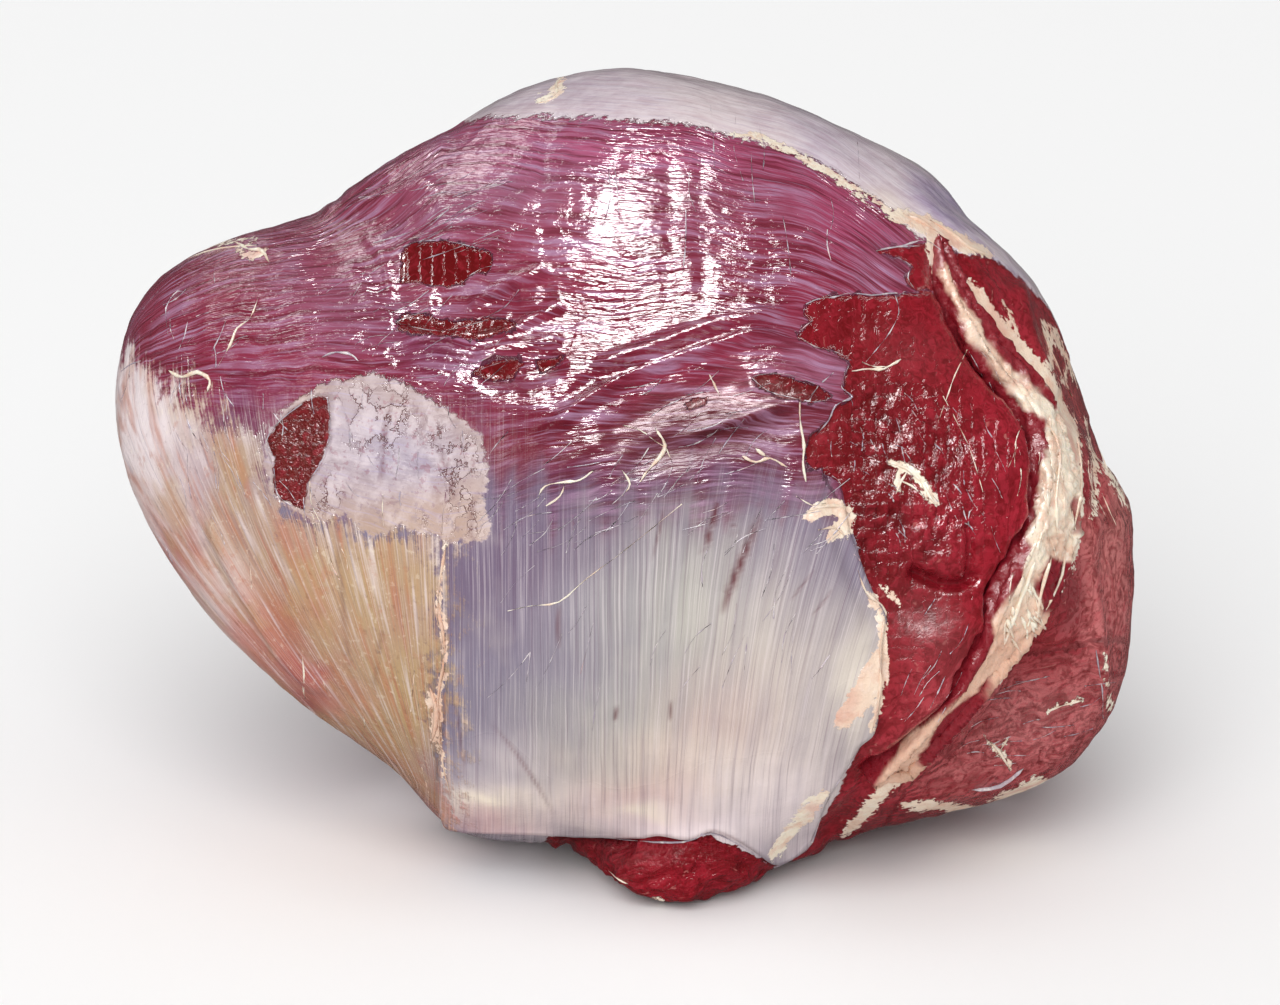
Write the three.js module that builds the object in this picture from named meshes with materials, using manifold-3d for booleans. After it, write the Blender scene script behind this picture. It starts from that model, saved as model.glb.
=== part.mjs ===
// Raw beef knuckle: the boneless round of muscle from the front of the thigh, laid on its underside.
// One solid is the meat, with its muscle heads, cut face, bone bed and trimmed edges as relief.
// A second solid is the seam of fat that shows down the butt end and runs in between two muscles.
// Millimetres, +Z up, +X towards the butt end, origin in the middle of the underside.
import * as THREE from "three";
import { mergeVertices } from "three/addons/utils/BufferGeometryUtils.js";
import Module from "manifold-3d";

const wasm = await Module();
wasm.setup();

// Driving dimensions, in millimetres.
const LEAN_DEG = 20; // the silverskin side leans back by this much
const MIDDLE_HEIGHT = 84; // of the body's middle over the surface it lies on
const FRONT_DEPTH = 97; // from the middle to the silverskin side
const BACK_DEPTH = 92; // from the middle to the bone side
const FRONT_FULLNESS = 2.35; // 2 is an ellipse, more is boxier
const BACK_FULLNESS = 2.6;
const NOSE_THINNING = 0.24; // how much shallower the nose is than the butt
const NOSE_FROM = 10; // where along the length the thinning starts
const NOSE_TO = -130;
const SETTLE = 7; // how softly the underside flattens on the surface
const FIT_GAP = 0.35; // between the fat seam and its groove

// Relief grows from none at the outline to its full height this far out of the outline's plane.
const RELIEF_FROM = 4;
const RELIEF_FULL = 34;

// Mesh fineness: triangles go with its square.
const BODY_DETAIL = 16;
const LUMP_DETAIL = 6;
const OUTLINE_STEPS = 720;
const LINE_STEPS = 40;
const GROOVE_STEPS = 60;

// Outline of the body square to the silverskin side: across, up.
const OUTLINE = [
  [127, -3], // butt end
  [128, -26],
  [124, -54],
  [109, -73],
  [84, -82], // under the cut face
  [56, -87],
  [28, -92],
  [-7, -89],
  [-42, -87], // low corner of the tendon sheet
  [-59, -71],
  [-83, -54],
  [-108, -30],
  [-125, -1],
  [-130, 23], // nose
  [-123, 49],
  [-104, 62],
  [-79, 69], // saddle
  [-58, 83.5],
  [-45, 89.5],
  [-34, 97],
  [-6, 105.5], // crown
  [23, 102.5],
  [53, 91.5],
  [83, 75.5],
  [105, 48],
  [117, 20],
];

// The fat seam down the butt end: across, up, width, depth into the meat.
const SEAM = [
  [77, 62, 5, 8],
  [81, 49, 8, 20],
  [89, 36, 11, 30],
  [99, 25, 13, 36],
  [105, 13, 14, 40],
  [107, -2, 17, 42],
  [104, -16, 20, 44],
  [97, -30, 20, 44],
  [88, -45, 12, 40],
  [76, -61, 11, 30],
  [65, -73, 15, 18],
];
const SEAM_STEPS = 40;
const SEAM_SMOOTHING = 3; // passes that even out how the seam follows the bumps
const SEAM_CROWN = 1.8; // how far the fat stands proud of the groove's lips
const SEAM_CLEARANCE = 14; // how far the groove's cutter reaches out of the meat

// The seam's section: across in half widths, out in crowns on the outer side and in depths inside.
const SEAM_OUTSIDE = [[1, 0], [1, 0.55], [0.55, 0.9], [0, 1], [-0.55, 0.9], [-1, 0.55], [-1, 0]];
const SEAM_INSIDE = [[-0.62, -0.5], [-0.2, -1], [0.2, -1], [0.62, -0.5]];

// Valleys and ridges of the silverskin side: points across and up, width, height along the depth.
const CREASES = [
  { points: [[-84, 74], [-66, 58], [-36, 44], [0, 38]], width: 13, height: -5 }, // saddle
  { points: [[99, 62], [104, 38], [113, 15]], width: 5, height: -4 }, // behind the upper muscle
  { points: [[113, -14], [118, -30], [117, -42]], width: 6, height: -3.5 },
  { points: [[56, 48], [54, 30], [58, 14], [62, -6]], width: 7, height: -3 }, // torn film
  { points: [[62, -22], [76, -26], [90, -22]], width: 4, height: -4 }, // cleft in the butt
  { points: [[50, 2], [59, -28], [63, -52], [42, -88]], width: 5, height: -3.5 }, // beside the sheet
];
const RIDGES = [
  { points: [[-64, 30], [-20, 22], [20, 28], [56, 40]], width: 12, height: 3 }, // folds of the film
  { points: [[-14, 4], [20, 14], [54, 22]], width: 7, height: 3 },
  { points: [[-48, -14], [-49, -46], [-46, -78]], width: 5, height: 2 }, // rim of the tan layer
  { points: [[95, 16], [100, -2], [96, -16], [86, -34], [66, -57]], width: 9, height: 6 }, // lip
  { points: [[-100, 30], [-88, 0], [-66, -40]], width: 10, height: 2 },
];
const MEAT_LUMPS = 1.3; // height of the uneven bumps
const LUMP_SIZE = 21; // and how far apart they are

// The cut face at the butt's low corner, and the recess above it, both outside the seam.
const CUT_POINT = new THREE.Vector3(98, -60, 34);
const CUT_NORMAL = new THREE.Vector3(0.42, -0.36, 0.83).normalize();
const CUT_TOP = -39;
const CUT_LEDGE = 5;
const RECESS = 6;
const RECESS_TOP = 50; // up from here there is no recess
const RECESS_FULL = 20; // and from here down it has its full depth
const SEAM_SIDE = 5; // the width over which the seam's outer side drops

// The bed of the thigh bone along the back.
const BONE_BED = { points: [[-50, 4], [0, -2], [60, -6], [130, -8]], width: 19, height: 11 };

// Grooves between the muscle heads that run round the butt and the back: directions from the
// middle, across, up and out, with the groove's width and depth.
const GROOVES = [
  { points: [[82, 70, 30], [90, 60, -10], [100, 20, -40], [110, -30, -40]], width: 9, height: -4.5 },
  { points: [[118, 22, 24], [128, 0, -5], [112, -40, -14], [90, -80, -10]], width: 7, height: -4 },
  { points: [[90, 60, -10], [30, 70, -60], [-50, 50, -60], [-110, 20, -30]], width: 10, height: -4 },
];

// Lumps of meat that bulge out under the sheet and at the butt: place and half sizes.
const LUMPS = [
  { at: [13, -44, 11], size: [28, 35, 23], bumps: 2.2 }, // flap under the sheet
  { at: [5, -32, 9], size: [24, 27, 20], bumps: 1.6 },
  { at: [32, -26, 9], size: [26, 33, 20], bumps: 1.8 },
  { at: [79, 15, 10], size: [26, 25, 20], bumps: 1.5 }, // foot of the cut face
];

// Steps smoothly from 0 at low to 1 at high.
function ease(low, high, x) {
  const t = THREE.MathUtils.clamp((x - low) / (high - low), 0, 1);
  return t * t * (3 - 2 * t);
}

// A repeatable number from 0 to 1 for a corner of the noise lattice.
function cornerValue(x, y, z) {
  const wave = Math.sin(x * 127.1 + y * 311.7 + z * 74.7) * 43758.5453;
  return wave - Math.floor(wave);
}

// Smooth uneven bumps from -1 to 1, about size apart.
function bumps(point, size) {
  const place = point.clone().divideScalar(size);
  const cell = place.clone().floor();
  const part = place.sub(cell);
  let sum = 0;
  for (const [i, j, k] of [
    [0, 0, 0], [1, 0, 0], [0, 1, 0], [1, 1, 0], [0, 0, 1], [1, 0, 1], [0, 1, 1], [1, 1, 1],
  ]) {
    const share =
      ease(0, 1, i ? part.x : 1 - part.x) *
      ease(0, 1, j ? part.y : 1 - part.y) *
      ease(0, 1, k ? part.z : 1 - part.z);
    sum += share * cornerValue(cell.x + i, cell.y + j, cell.z + k);
  }
  return 2 * sum - 1;
}

// The leaning frame of the silverskin side (across, up, out), placed in the part's frame.
const lean = THREE.MathUtils.degToRad(LEAN_DEG);
const leaning = new THREE.Matrix4()
  .makeBasis(
    new THREE.Vector3(1, 0, 0),
    new THREE.Vector3(0, Math.sin(lean), Math.cos(lean)),
    new THREE.Vector3(0, -Math.cos(lean), Math.sin(lean)),
  )
  .setPosition(0, 0, MIDDLE_HEIGHT);

// A smooth curve through points in the leaning plane, as a list of short steps.
function smoothLine(points, steps = LINE_STEPS, closed = false) {
  const curve = new THREE.CatmullRomCurve3(
    points.map(([x, y]) => new THREE.Vector3(x, y, 0)),
    closed,
    "centripetal",
  );
  return curve.getPoints(steps);
}

// The outline as a radius for each direction round the middle.
const outlineSteps = smoothLine(OUTLINE, OUTLINE_STEPS, true).map((p) => ({
  angle: Math.atan2(p.y, p.x),
  radius: Math.hypot(p.x, p.y),
}));
outlineSteps.sort((a, b) => a.angle - b.angle);

function outlineRadius(angle) {
  const list = outlineSteps;
  let high = list.findIndex((step) => step.angle > angle);
  if (high < 0) high = 0;
  const low = (high + list.length - 1) % list.length;
  const turn = 2 * Math.PI;
  const span = (list[high].angle - list[low].angle + turn) % turn || 1;
  const part = ((angle - list[low].angle + turn) % turn) / span;
  return THREE.MathUtils.lerp(list[low].radius, list[high].radius, part);
}

// The nearest place on a line: its distance, with a sign for the side, and how far along it is.
function nearest(line, x, y) {
  let best = { distance: Infinity, along: 0, side: 1 };
  for (let i = 0; i + 1 < line.length; i++) {
    const [a, b] = [line[i], line[i + 1]];
    const dx = b.x - a.x;
    const dy = b.y - a.y;
    const t = THREE.MathUtils.clamp(
      ((x - a.x) * dx + (y - a.y) * dy) / (dx * dx + dy * dy),
      0,
      1,
    );
    const distance = Math.hypot(x - a.x - t * dx, y - a.y - t * dy);
    if (distance < best.distance) {
      const side = Math.sign(dx * (y - a.y) - dy * (x - a.x)) || 1;
      best = { distance, along: (i + t) / (line.length - 1), side };
    }
  }
  return best;
}

const seamLine = smoothLine(SEAM, SEAM_STEPS);
const creaseLines = [...CREASES, ...RIDGES].map((crease) => ({
  ...crease,
  line: smoothLine(crease.points),
}));
const bedLine = smoothLine(BONE_BED.points);
const grooveLines = GROOVES.map((groove) => ({
  ...groove,
  line: new THREE.CatmullRomCurve3(groove.points.map((point) => new THREE.Vector3(...point)))
    .getPoints(GROOVE_STEPS)
    .map((point) => point.normalize()),
}));

// Height of a rounded ridge or valley at a place.
function crossed(line, crease, x, y) {
  const near = nearest(line, x, y);
  return crease.height * Math.exp(-((near.distance / crease.width) ** 2));
}

// How deep the grooves between the muscle heads are in a direction, at a distance from the middle.
function grooved(direction, radius) {
  let depth = 0;
  for (const { line, width, height } of grooveLines) {
    const away = Math.min(...line.map((step) => step.distanceTo(direction))) * radius;
    depth += height * Math.exp(-((away / width) ** 2));
  }
  return depth;
}

// What the silverskin side and the butt stand in or out from the plain body.
function frontRelief(x, y, out) {
  let relief = 0;
  for (const crease of creaseLines) relief += crossed(crease.line, crease, x, y);
  const seam = nearest(seamLine, x, y);
  const outside = ease(0, SEAM_SIDE, seam.side * seam.distance);
  relief -= RECESS * outside * ease(RECESS_TOP, RECESS_FULL, y);
  // Below its top edge the outer side is sliced flat.
  const slope = (x - CUT_POINT.x) * CUT_NORMAL.x + (y - CUT_POINT.y) * CUT_NORMAL.y;
  const cutOut = CUT_POINT.z - slope / CUT_NORMAL.z;
  const sliced = outside * ease(CUT_TOP + CUT_LEDGE, CUT_TOP, y);
  return relief + sliced * Math.min(0, cutOut - out - relief);
}

// The point of the body's skin in a given direction from its middle, in the part's frame.
function bodyPoint(direction) {
  const flat = Math.hypot(direction.x, direction.y);
  const front = direction.z > 0;
  const power = front ? FRONT_FULLNESS : BACK_FULLNESS;
  const depth = front ? FRONT_DEPTH : BACK_DEPTH;
  const outline = outlineRadius(Math.atan2(direction.y, direction.x));
  const radius =
    ((flat / outline) ** power + (Math.abs(direction.z) / depth) ** power) ** (-1 / power);
  const point = direction.clone().multiplyScalar(radius + grooved(direction, radius));
  point.z *= 1 - NOSE_THINNING * ease(NOSE_FROM, NOSE_TO, point.x);
  const facing = ease(RELIEF_FROM, RELIEF_FULL, Math.abs(point.z));
  if (front) point.z += facing * frontRelief(point.x, point.y, point.z);
  else point.z += facing * crossed(bedLine, BONE_BED, point.x, point.y);
  const lumps = MEAT_LUMPS * bumps(point, LUMP_SIZE);
  point.addScaledVector(direction, lumps * ease(0, 20, Math.abs(point.z)));
  return settle(point.applyMatrix4(leaning));
}

// Flattens what would go below the surface that the meat lies on.
function settle(point) {
  if (point.z < -SETTLE) point.z = 0;
  else if (point.z < SETTLE) point.z = (point.z + SETTLE) ** 2 / (4 * SETTLE);
  return point;
}

// A round lump of meat, uneven, settled on the surface.
function lumpPoint(lump, direction) {
  const point = direction.clone().multiply(new THREE.Vector3(...lump.size));
  const place = point.clone().addScalar(lump.at[0]);
  point.addScaledVector(direction, lump.bumps * bumps(place, LUMP_SIZE / 2));
  return settle(point.add(new THREE.Vector3(...lump.at)));
}

// A sphere with every vertex moved to where place says, as one closed solid.
function rounded(detail, place) {
  const sphere = new THREE.IcosahedronGeometry(1, detail);
  const position = sphere.getAttribute("position");
  const moved = new Map();
  for (let i = 0; i < position.count; i++) {
    const direction = new THREE.Vector3().fromBufferAttribute(position, i).normalize();
    const key = direction.toArray().map((value) => value.toFixed(4)).join();
    if (!moved.has(key)) moved.set(key, place(direction));
    position.setXYZ(i, ...moved.get(key).toArray());
  }
  return solidFrom(sphere);
}

function solidFrom(geometry) {
  geometry.deleteAttribute("normal");
  geometry.deleteAttribute("uv");
  const merged = mergeVertices(geometry, 1e-3);
  return new wasm.Manifold(
    new wasm.Mesh({
      numProp: 3,
      vertProperties: merged.getAttribute("position").array,
      triVerts: new Uint32Array(merged.index.array),
    }),
  );
}

function geometryFrom(solid) {
  const mesh = solid.getMesh();
  const geometry = new THREE.BufferGeometry();
  geometry.setAttribute("position", new THREE.BufferAttribute(mesh.vertProperties, 3));
  geometry.setIndex(new THREE.BufferAttribute(mesh.triVerts, 1));
  geometry.computeVertexNormals();
  return geometry;
}

// The skin point of the silverskin side at a place across and up, found along its own direction.
function skinAt(x, y) {
  const halvings = 30;
  const reach = Math.hypot(x, y);
  const toLeaning = leaning.clone().invert();
  let [low, high] = [0, Math.PI / 2];
  let found;
  for (let i = 0; i < halvings; i++) {
    const tilt = (low + high) / 2;
    const flat = Math.sin(tilt) / reach;
    found = bodyPoint(new THREE.Vector3(x * flat, y * flat, Math.cos(tilt)));
    const local = found.clone().applyMatrix4(toLeaning);
    if (Math.hypot(local.x, local.y) < reach) low = tilt;
    else high = tilt;
  }
  return found;
}

// The seam as a bent wedge: a low crown outside, narrowing to an edge deep in the meat.
function seamWedge(extra, crown) {
  const middle = new THREE.Vector3(0, 0, MIDDLE_HEIGHT);
  const stations = seamLine.map((p, i) => {
    const place = (i / SEAM_STEPS) * (SEAM.length - 1);
    const row = Math.min(Math.floor(place), SEAM.length - 2);
    const sizes = [2, 3].map((k) =>
      THREE.MathUtils.lerp(SEAM[row][k], SEAM[row + 1][k], place - row),
    );
    return { skin: skinAt(p.x, p.y), half: sizes[0] / 2 + extra, depth: sizes[1] + extra };
  });
  for (let pass = 0; pass < SEAM_SMOOTHING; pass++) {
    const places = stations.map((station) => station.skin.clone());
    for (let i = 1; i < SEAM_STEPS; i++) {
      const ends = places[i - 1].clone().add(places[i + 1]).multiplyScalar(0.5);
      stations[i].skin = places[i].clone().lerp(ends, 0.5);
    }
  }
  const vertices = [];
  stations.forEach(({ skin, half, depth }, i) => {
    const before = stations[Math.max(i - 1, 0)].skin;
    const after = stations[Math.min(i + 1, SEAM_STEPS)].skin;
    const along = after.clone().sub(before).normalize();
    const out = skin.clone().sub(middle).normalize();
    const across = new THREE.Vector3().crossVectors(along, out).normalize();
    const end = i === 0 ? -extra : i === SEAM_STEPS ? extra : 0;
    const section = [
      ...SEAM_OUTSIDE.map(([side, rise]) => [side, rise * crown]),
      ...SEAM_INSIDE.map(([side, rise]) => [side, rise * depth]),
    ];
    for (const [side, rise] of section) {
      vertices.push(
        ...skin
          .clone()
          .addScaledVector(along, end)
          .addScaledVector(across, side * half)
          .addScaledVector(out, rise)
          .toArray(),
      );
    }
  });
  const ring = SEAM_OUTSIDE.length + SEAM_INSIDE.length;
  const faces = [];
  for (let i = 0; i < SEAM_STEPS; i++) {
    for (let k = 0; k < ring; k++) {
      const next = (k + 1) % ring;
      const [a, b, c, d] = [i * ring + k, i * ring + next, (i + 1) * ring + next, (i + 1) * ring + k];
      faces.push(a, b, c, a, c, d);
    }
  }
  // Both ends close on a fan round the first corner.
  const last = SEAM_STEPS * ring;
  for (let k = 1; k + 1 < ring; k++) {
    faces.push(0, k + 1, k);
    faces.push(last, last + k, last + k + 1);
  }
  const geometry = new THREE.BufferGeometry();
  geometry.setAttribute("position", new THREE.Float32BufferAttribute(vertices, 3));
  geometry.setIndex(faces);
  const solid = solidFrom(geometry);
  if (solid.volume() > 0) return solid;
  geometry.setIndex(faces.reverse());
  return solidFrom(geometry);
}

function beef() {
  let body = rounded(BODY_DETAIL, bodyPoint);
  for (const lump of LUMPS) {
    body = body.add(rounded(LUMP_DETAIL, (direction) => lumpPoint(lump, direction)));
  }
  body = body.subtract(seamWedge(FIT_GAP, SEAM_CLEARANCE));
  // Scraps that the groove cuts loose are trimmed away.
  const parts = body.decompose().sort((a, b) => b.volume() - a.volume());
  const meat = new THREE.Mesh(
    geometryFrom(parts[0]),
    new THREE.MeshStandardMaterial({ color: 0x8e3648, roughness: 0.35, metalness: 0 }),
  );
  meat.name = "beef_knuckle";
  return meat;
}

function fatSeam() {
  const fat = new THREE.Mesh(
    geometryFrom(seamWedge(0, SEAM_CROWN)),
    new THREE.MeshStandardMaterial({ color: 0xe3c9a6, roughness: 0.45, metalness: 0 }),
  );
  fat.name = "fat_seam";
  return fat;
}

const knuckle = new THREE.Group();
knuckle.add(beef(), fatSeam());

export default knuckle;
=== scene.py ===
"""Raw beef knuckle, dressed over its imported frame.

Run in Blender 4.5. The meat, the tendon sheet and the fat are modelled at true size in metres.
Their features are placed by the pixels of the photograph that show them.
"""
import itertools
import math
import random

import bpy
import numpy as np
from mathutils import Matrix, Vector
from mathutils.bvhtree import BVHTree


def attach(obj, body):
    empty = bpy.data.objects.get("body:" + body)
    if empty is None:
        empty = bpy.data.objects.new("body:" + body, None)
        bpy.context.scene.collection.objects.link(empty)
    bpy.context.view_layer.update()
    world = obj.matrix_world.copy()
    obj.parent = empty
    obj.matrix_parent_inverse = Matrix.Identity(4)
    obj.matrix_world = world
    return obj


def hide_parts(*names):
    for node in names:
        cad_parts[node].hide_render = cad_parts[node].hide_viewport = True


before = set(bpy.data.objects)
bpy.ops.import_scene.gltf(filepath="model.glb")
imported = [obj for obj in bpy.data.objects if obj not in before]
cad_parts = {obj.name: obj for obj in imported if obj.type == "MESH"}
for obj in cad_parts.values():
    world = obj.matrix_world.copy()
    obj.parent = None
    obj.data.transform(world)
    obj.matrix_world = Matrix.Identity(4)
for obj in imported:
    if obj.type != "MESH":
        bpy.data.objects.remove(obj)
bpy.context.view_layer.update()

bl_info = {
    "name": "Raw Beef Knuckle",
    "version": (1, 0, 0),
    "blender": (4, 5, 0),
    "location": "3D View > Sidebar > Knuckle",
    "description": "Models a whole raw beef knuckle with its silverskin, tendon sheet and fat",
    "category": "Object",
}

MM = 0.001

# The silverskin side leans back from upright, and these are its directions and its middle.
LEAN = math.radians(20)
MIDDLE = np.array([0, 0, 0.084])
MEAT_RADII = np.array([0.128, 0.098, 0.092])
ACROSS = np.array([1, 0, 0])
UP = np.array([0, math.sin(LEAN), math.cos(LEAN)])
OUT = np.array([0, -math.cos(LEAN), math.sin(LEAN)])

# The photograph: its size, the pixel that shows the middle of the meat, and the scale there.
PHOTO_WIDTH = 1280
PHOTO_HEIGHT = 1005
PHOTO_MIDDLE = np.array([628, 488])
PHOTO_CENTRE = np.array([PHOTO_WIDTH / 2, PHOTO_HEIGHT / 2])
MM_PER_PIXEL = 0.2527
CAMERA_DISTANCE = 1800  # millimetres from the middle of the meat
SENSOR_WIDTH = 36

# Distances to lines are first measured roughly, in cells of this many pixels.
CELL = 12
FEW_POINTS = 12000

# Outlines and lines below are pixels of the photograph.
# Bare muscle: the butt, the lobe behind the seam and the flap under the sheet.
BARE_BUTT = [
    (941, 250), (930, 241), (905, 246), (879, 250), (897, 257), (911, 266), (908, 278),
    (914, 288), (936, 293), (905, 293), (880, 295), (851, 296), (830, 297), (811, 301),
    (803, 312), (812, 321), (798, 335), (815, 347), (837, 353), (850, 360), (843, 377),
    (841, 388), (852, 397), (835, 405), (828, 420), (809, 440), (803, 455), (804, 472),
    (822, 470), (835, 500), (848, 520), (858, 560), (870, 600), (872, 660), (865, 730),
    (840, 790), (800, 850), (775, 862), (700, 834), (600, 830), (545, 836), (540, 860),
    (560, 930), (700, 980), (1200, 980), (1250, 700), (1250, 300), (1120, 300), (1085, 392),
    (1060, 330), (1042, 299), (1021, 280), (1000, 264), (985, 258), (965, 256),
]
# Torn windows in the film.
WINDOWS = [
    [(399, 250), (412, 243), (440, 240), (470, 247), (490, 251), (493, 262), (486, 272),
     (470, 278), (455, 286), (430, 285), (399, 281), (404, 265)],
    [(393, 322), (405, 313), (428, 315), (450, 321), (490, 318), (512, 320), (520, 326),
     (500, 335), (470, 340), (430, 335), (400, 330)],
    [(466, 373), (480, 366), (500, 361), (526, 357), (520, 368), (512, 380), (490, 381)],
    [(535, 361), (562, 357), (556, 368), (543, 372)],
    [(685, 404), (694, 399), (708, 397), (702, 406), (688, 411)],
    [(751, 378), (765, 374), (790, 376), (815, 384), (832, 397), (815, 402), (790, 398),
     (768, 392)],
]
BROWN_WINDOW = [
    (327, 397), (330, 440), (319, 466), (308, 484), (305, 500), (303, 513), (292, 505),
    (277, 494), (273, 480), (276, 460), (266, 440), (280, 420), (300, 405), (315, 397),
]
# Pale layers over the film, each with a torn edge.
TOP_MEMBRANE = [
    (470, 122), (492, 116), (540, 116), (580, 117), (607, 119), (640, 120), (687, 124),
    (715, 130), (735, 138), (760, 143), (792, 151), (815, 161), (838, 175), (861, 190),
    (880, 203), (895, 217), (916, 236), (930, 241), (941, 250), (965, 256), (985, 258),
    (1000, 264), (1021, 280), (1042, 299), (1060, 330), (1085, 392), (1120, 470), (1150, 520),
    (1250, 400), (1100, 150), (800, 0), (500, 0), (440, 60), (450, 110),
]
# The shiny patch is pale film; the haze laid on it is partly a painted reflection.
SHINY_PATCH = [
    (262, 445), (282, 412), (300, 396), (330, 380), (372, 374), (410, 385), (448, 410),
    (479, 432), (488, 470), (484, 500), (490, 540), (462, 542), (430, 536), (400, 524),
    (372, 538), (340, 512), (316, 524), (292, 512), (270, 490),
]
TAN_LAYER = [
    (60, 380), (130, 350), (165, 388), (185, 375), (191, 401), (206, 394), (212, 412),
    (210, 430), (222, 426), (240, 431), (252, 427), (262, 440), (272, 490), (292, 512),
    (316, 524), (340, 512), (372, 538), (400, 524), (430, 536), (462, 542), (444, 560),
    (446, 640), (438, 690), (444, 740), (452, 800), (452, 838), (420, 900), (60, 900),
]
TENDON_SHEET = [
    (452, 470), (520, 455), (600, 452), (700, 452), (760, 450), (800, 458), (815, 470),
    (838, 482), (845, 504), (850, 530), (858, 552), (862, 565), (872, 590), (886, 616),
    (884, 635), (882, 655), (881, 693), (875, 732), (860, 747), (845, 772), (828, 800),
    (818, 826), (812, 842), (795, 857), (775, 865), (755, 852), (741, 843), (726, 835),
    (711, 831), (695, 838), (683, 840), (660, 836), (640, 838), (604, 837), (560, 835),
    (500, 833), (452, 830), (440, 815), (436, 780), (446, 700), (440, 600),
]
SHEET_LEFT = 446

# The sliced face behind the seam, and the flap of meat under the sheet.
CUT_FACE = [
    (1020, 655), (1060, 650), (1095, 640), (1125, 640), (1145, 720), (1100, 830), (980, 850),
    (870, 850), (905, 790), (960, 745), (1000, 690),
]
FLAP = [
    (540, 836), (600, 838), (660, 838), (711, 834), (745, 850), (775, 866), (800, 862),
    (860, 830), (900, 850), (800, 960), (560, 960),
]

# Where the fat of the seam shows between the two muscles.
FAT_STRIP = [
    (942, 261), (961, 282), (987, 324), (1018, 362), (1046, 386), (1056, 407), (1084, 427),
    (1085, 469), (1081, 524), (1079, 566), (1056, 559), (1039, 586), (1053, 635), (1050, 652),
    (1022, 669), (987, 697), (946, 731), (929, 766), (918, 801), (870, 824), (842, 838),
    (866, 806), (886, 770), (904, 738), (939, 714), (967, 690), (994, 655), (994, 621),
    (1018, 586), (1029, 545), (1036, 496), (1046, 448), (1053, 420), (1022, 407), (994, 372),
    (967, 331), (949, 296), (938, 272),
]

# Ridges of the film and meat: line, width and height in millimetres.
FOLDS = [
    ([(531, 446), (555, 426), (584, 403), (625, 381), (666, 363), (707, 347), (750, 336),
      (798, 335)], 1.5, 2.4),
    ([(590, 372), (620, 358), (663, 344), (707, 327), (750, 318), (790, 311)], 1.9, 1.6),
    ([(668, 444), (707, 429), (741, 418), (772, 407), (804, 402), (835, 399)], 1.5, 2.2),
    ([(600, 396), (640, 377), (690, 358), (753, 343)], 1.2, 1.0),
    ([(466, 306), (511, 283), (551, 268)], 1.5, 1.4),
    ([(440, 344), (502, 334), (530, 322), (566, 303)], 1.4, 1.6),
    ([(476, 358), (523, 346), (562, 340)], 1.7, 1.5),
    ([(395, 326), (440, 342), (480, 341)], 1.3, 0.9),
    ([(560, 470), (600, 440), (650, 425)], 1.6, 0.7),
    ([(348, 262), (372, 300), (398, 322)], 1.3, 0.6),
    ([(365, 235), (385, 262), (392, 300)], 1.3, 0.5),
    ([(210, 516), (233, 567), (279, 649), (330, 695)], 1.8, 1.3),
    ([(320, 214), (380, 200), (440, 178)], 2.0, 0.9),
    ([(340, 202), (400, 168), (452, 140)], 2.0, 0.9),
    ([(1037, 480), (1022, 553), (993, 616), (974, 669), (901, 727), (862, 768)], 2.4, 1.8),
    ([(1018, 278), (1027, 317), (1042, 365), (1060, 400)], 2.0, 1.6),
    ([(1096, 500), (1092, 560), (1100, 630), (1104, 700)], 2.0, 1.2),
    ([(372, 374), (410, 385), (448, 410), (479, 432), (486, 470), (484, 500)], 0.9, 0.5),
]
VALLEYS = [
    ([(566, 398), (600, 374), (640, 366), (700, 343), (745, 328)], 2.0, -1.3),
    ([(600, 446), (650, 412), (700, 392), (750, 378)], 4.0, -2.2),
    ([(620, 466), (680, 446), (740, 432), (800, 424)], 4.0, -2.0),
    ([(480, 372), (505, 378), (540, 370), (560, 352)], 3.0, -1.4),
    ([(430, 300), (480, 300), (520, 290)], 3.0, -1.0),
    ([(905, 570), (925, 577), (945, 584), (969, 582), (985, 572)], 1.5, -3.2),
    ([(968, 520), (972, 548), (969, 580)], 1.2, -1.8),
    ([(865, 640), (900, 690), (905, 720)], 2.5, -1.4),
    ([(200, 540), (226, 590), (270, 660)], 2.4, -0.8),
    ([(1047, 415), (1038, 470), (1028, 540)], 1.6, -1.0),
    ([(556, 845), (579, 841), (592, 844), (612, 846), (640, 842)], 2.4, -3.5),
    ([(545, 130), (541, 200), (546, 250), (543, 310)], 1.2, -0.35),
    ([(672, 140), (668, 200), (671, 260), (664, 330)], 1.2, -0.35),
    ([(702, 150), (699, 220), (704, 300)], 1.1, -0.3),
    ([(618, 150), (612, 230), (616, 290)], 1.0, -0.22),
    ([(760, 190), (768, 250), (762, 300)], 1.1, -0.25),
    ([(820, 480), (836, 520), (846, 560), (862, 600), (872, 640)], 2.0, -1.6),
    ([(880, 770), (860, 800), (820, 850)], 2.4, -2.0),
    ([(1097, 415), (1102, 470), (1098, 520)], 1.8, -1.2),
    ([(1000, 640), (1030, 650), (1060, 652), (1096, 640)], 1.5, -1.2),
]

# Deep coarse bare muscle: pixel and radius.
COARSE_FLESH = (900, 480, 95)

# Parts with a finer mesh: middle and radii.
FINE_PARTS = [
    (900, 480, 100, 105), (930, 630, 70, 80), (690, 385, 165, 62), (450, 300, 75, 60),
    (1050, 725, 75, 75), (680, 870, 120, 32), (297, 455, 40, 62), (1015, 540, 50, 120),
]

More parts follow.
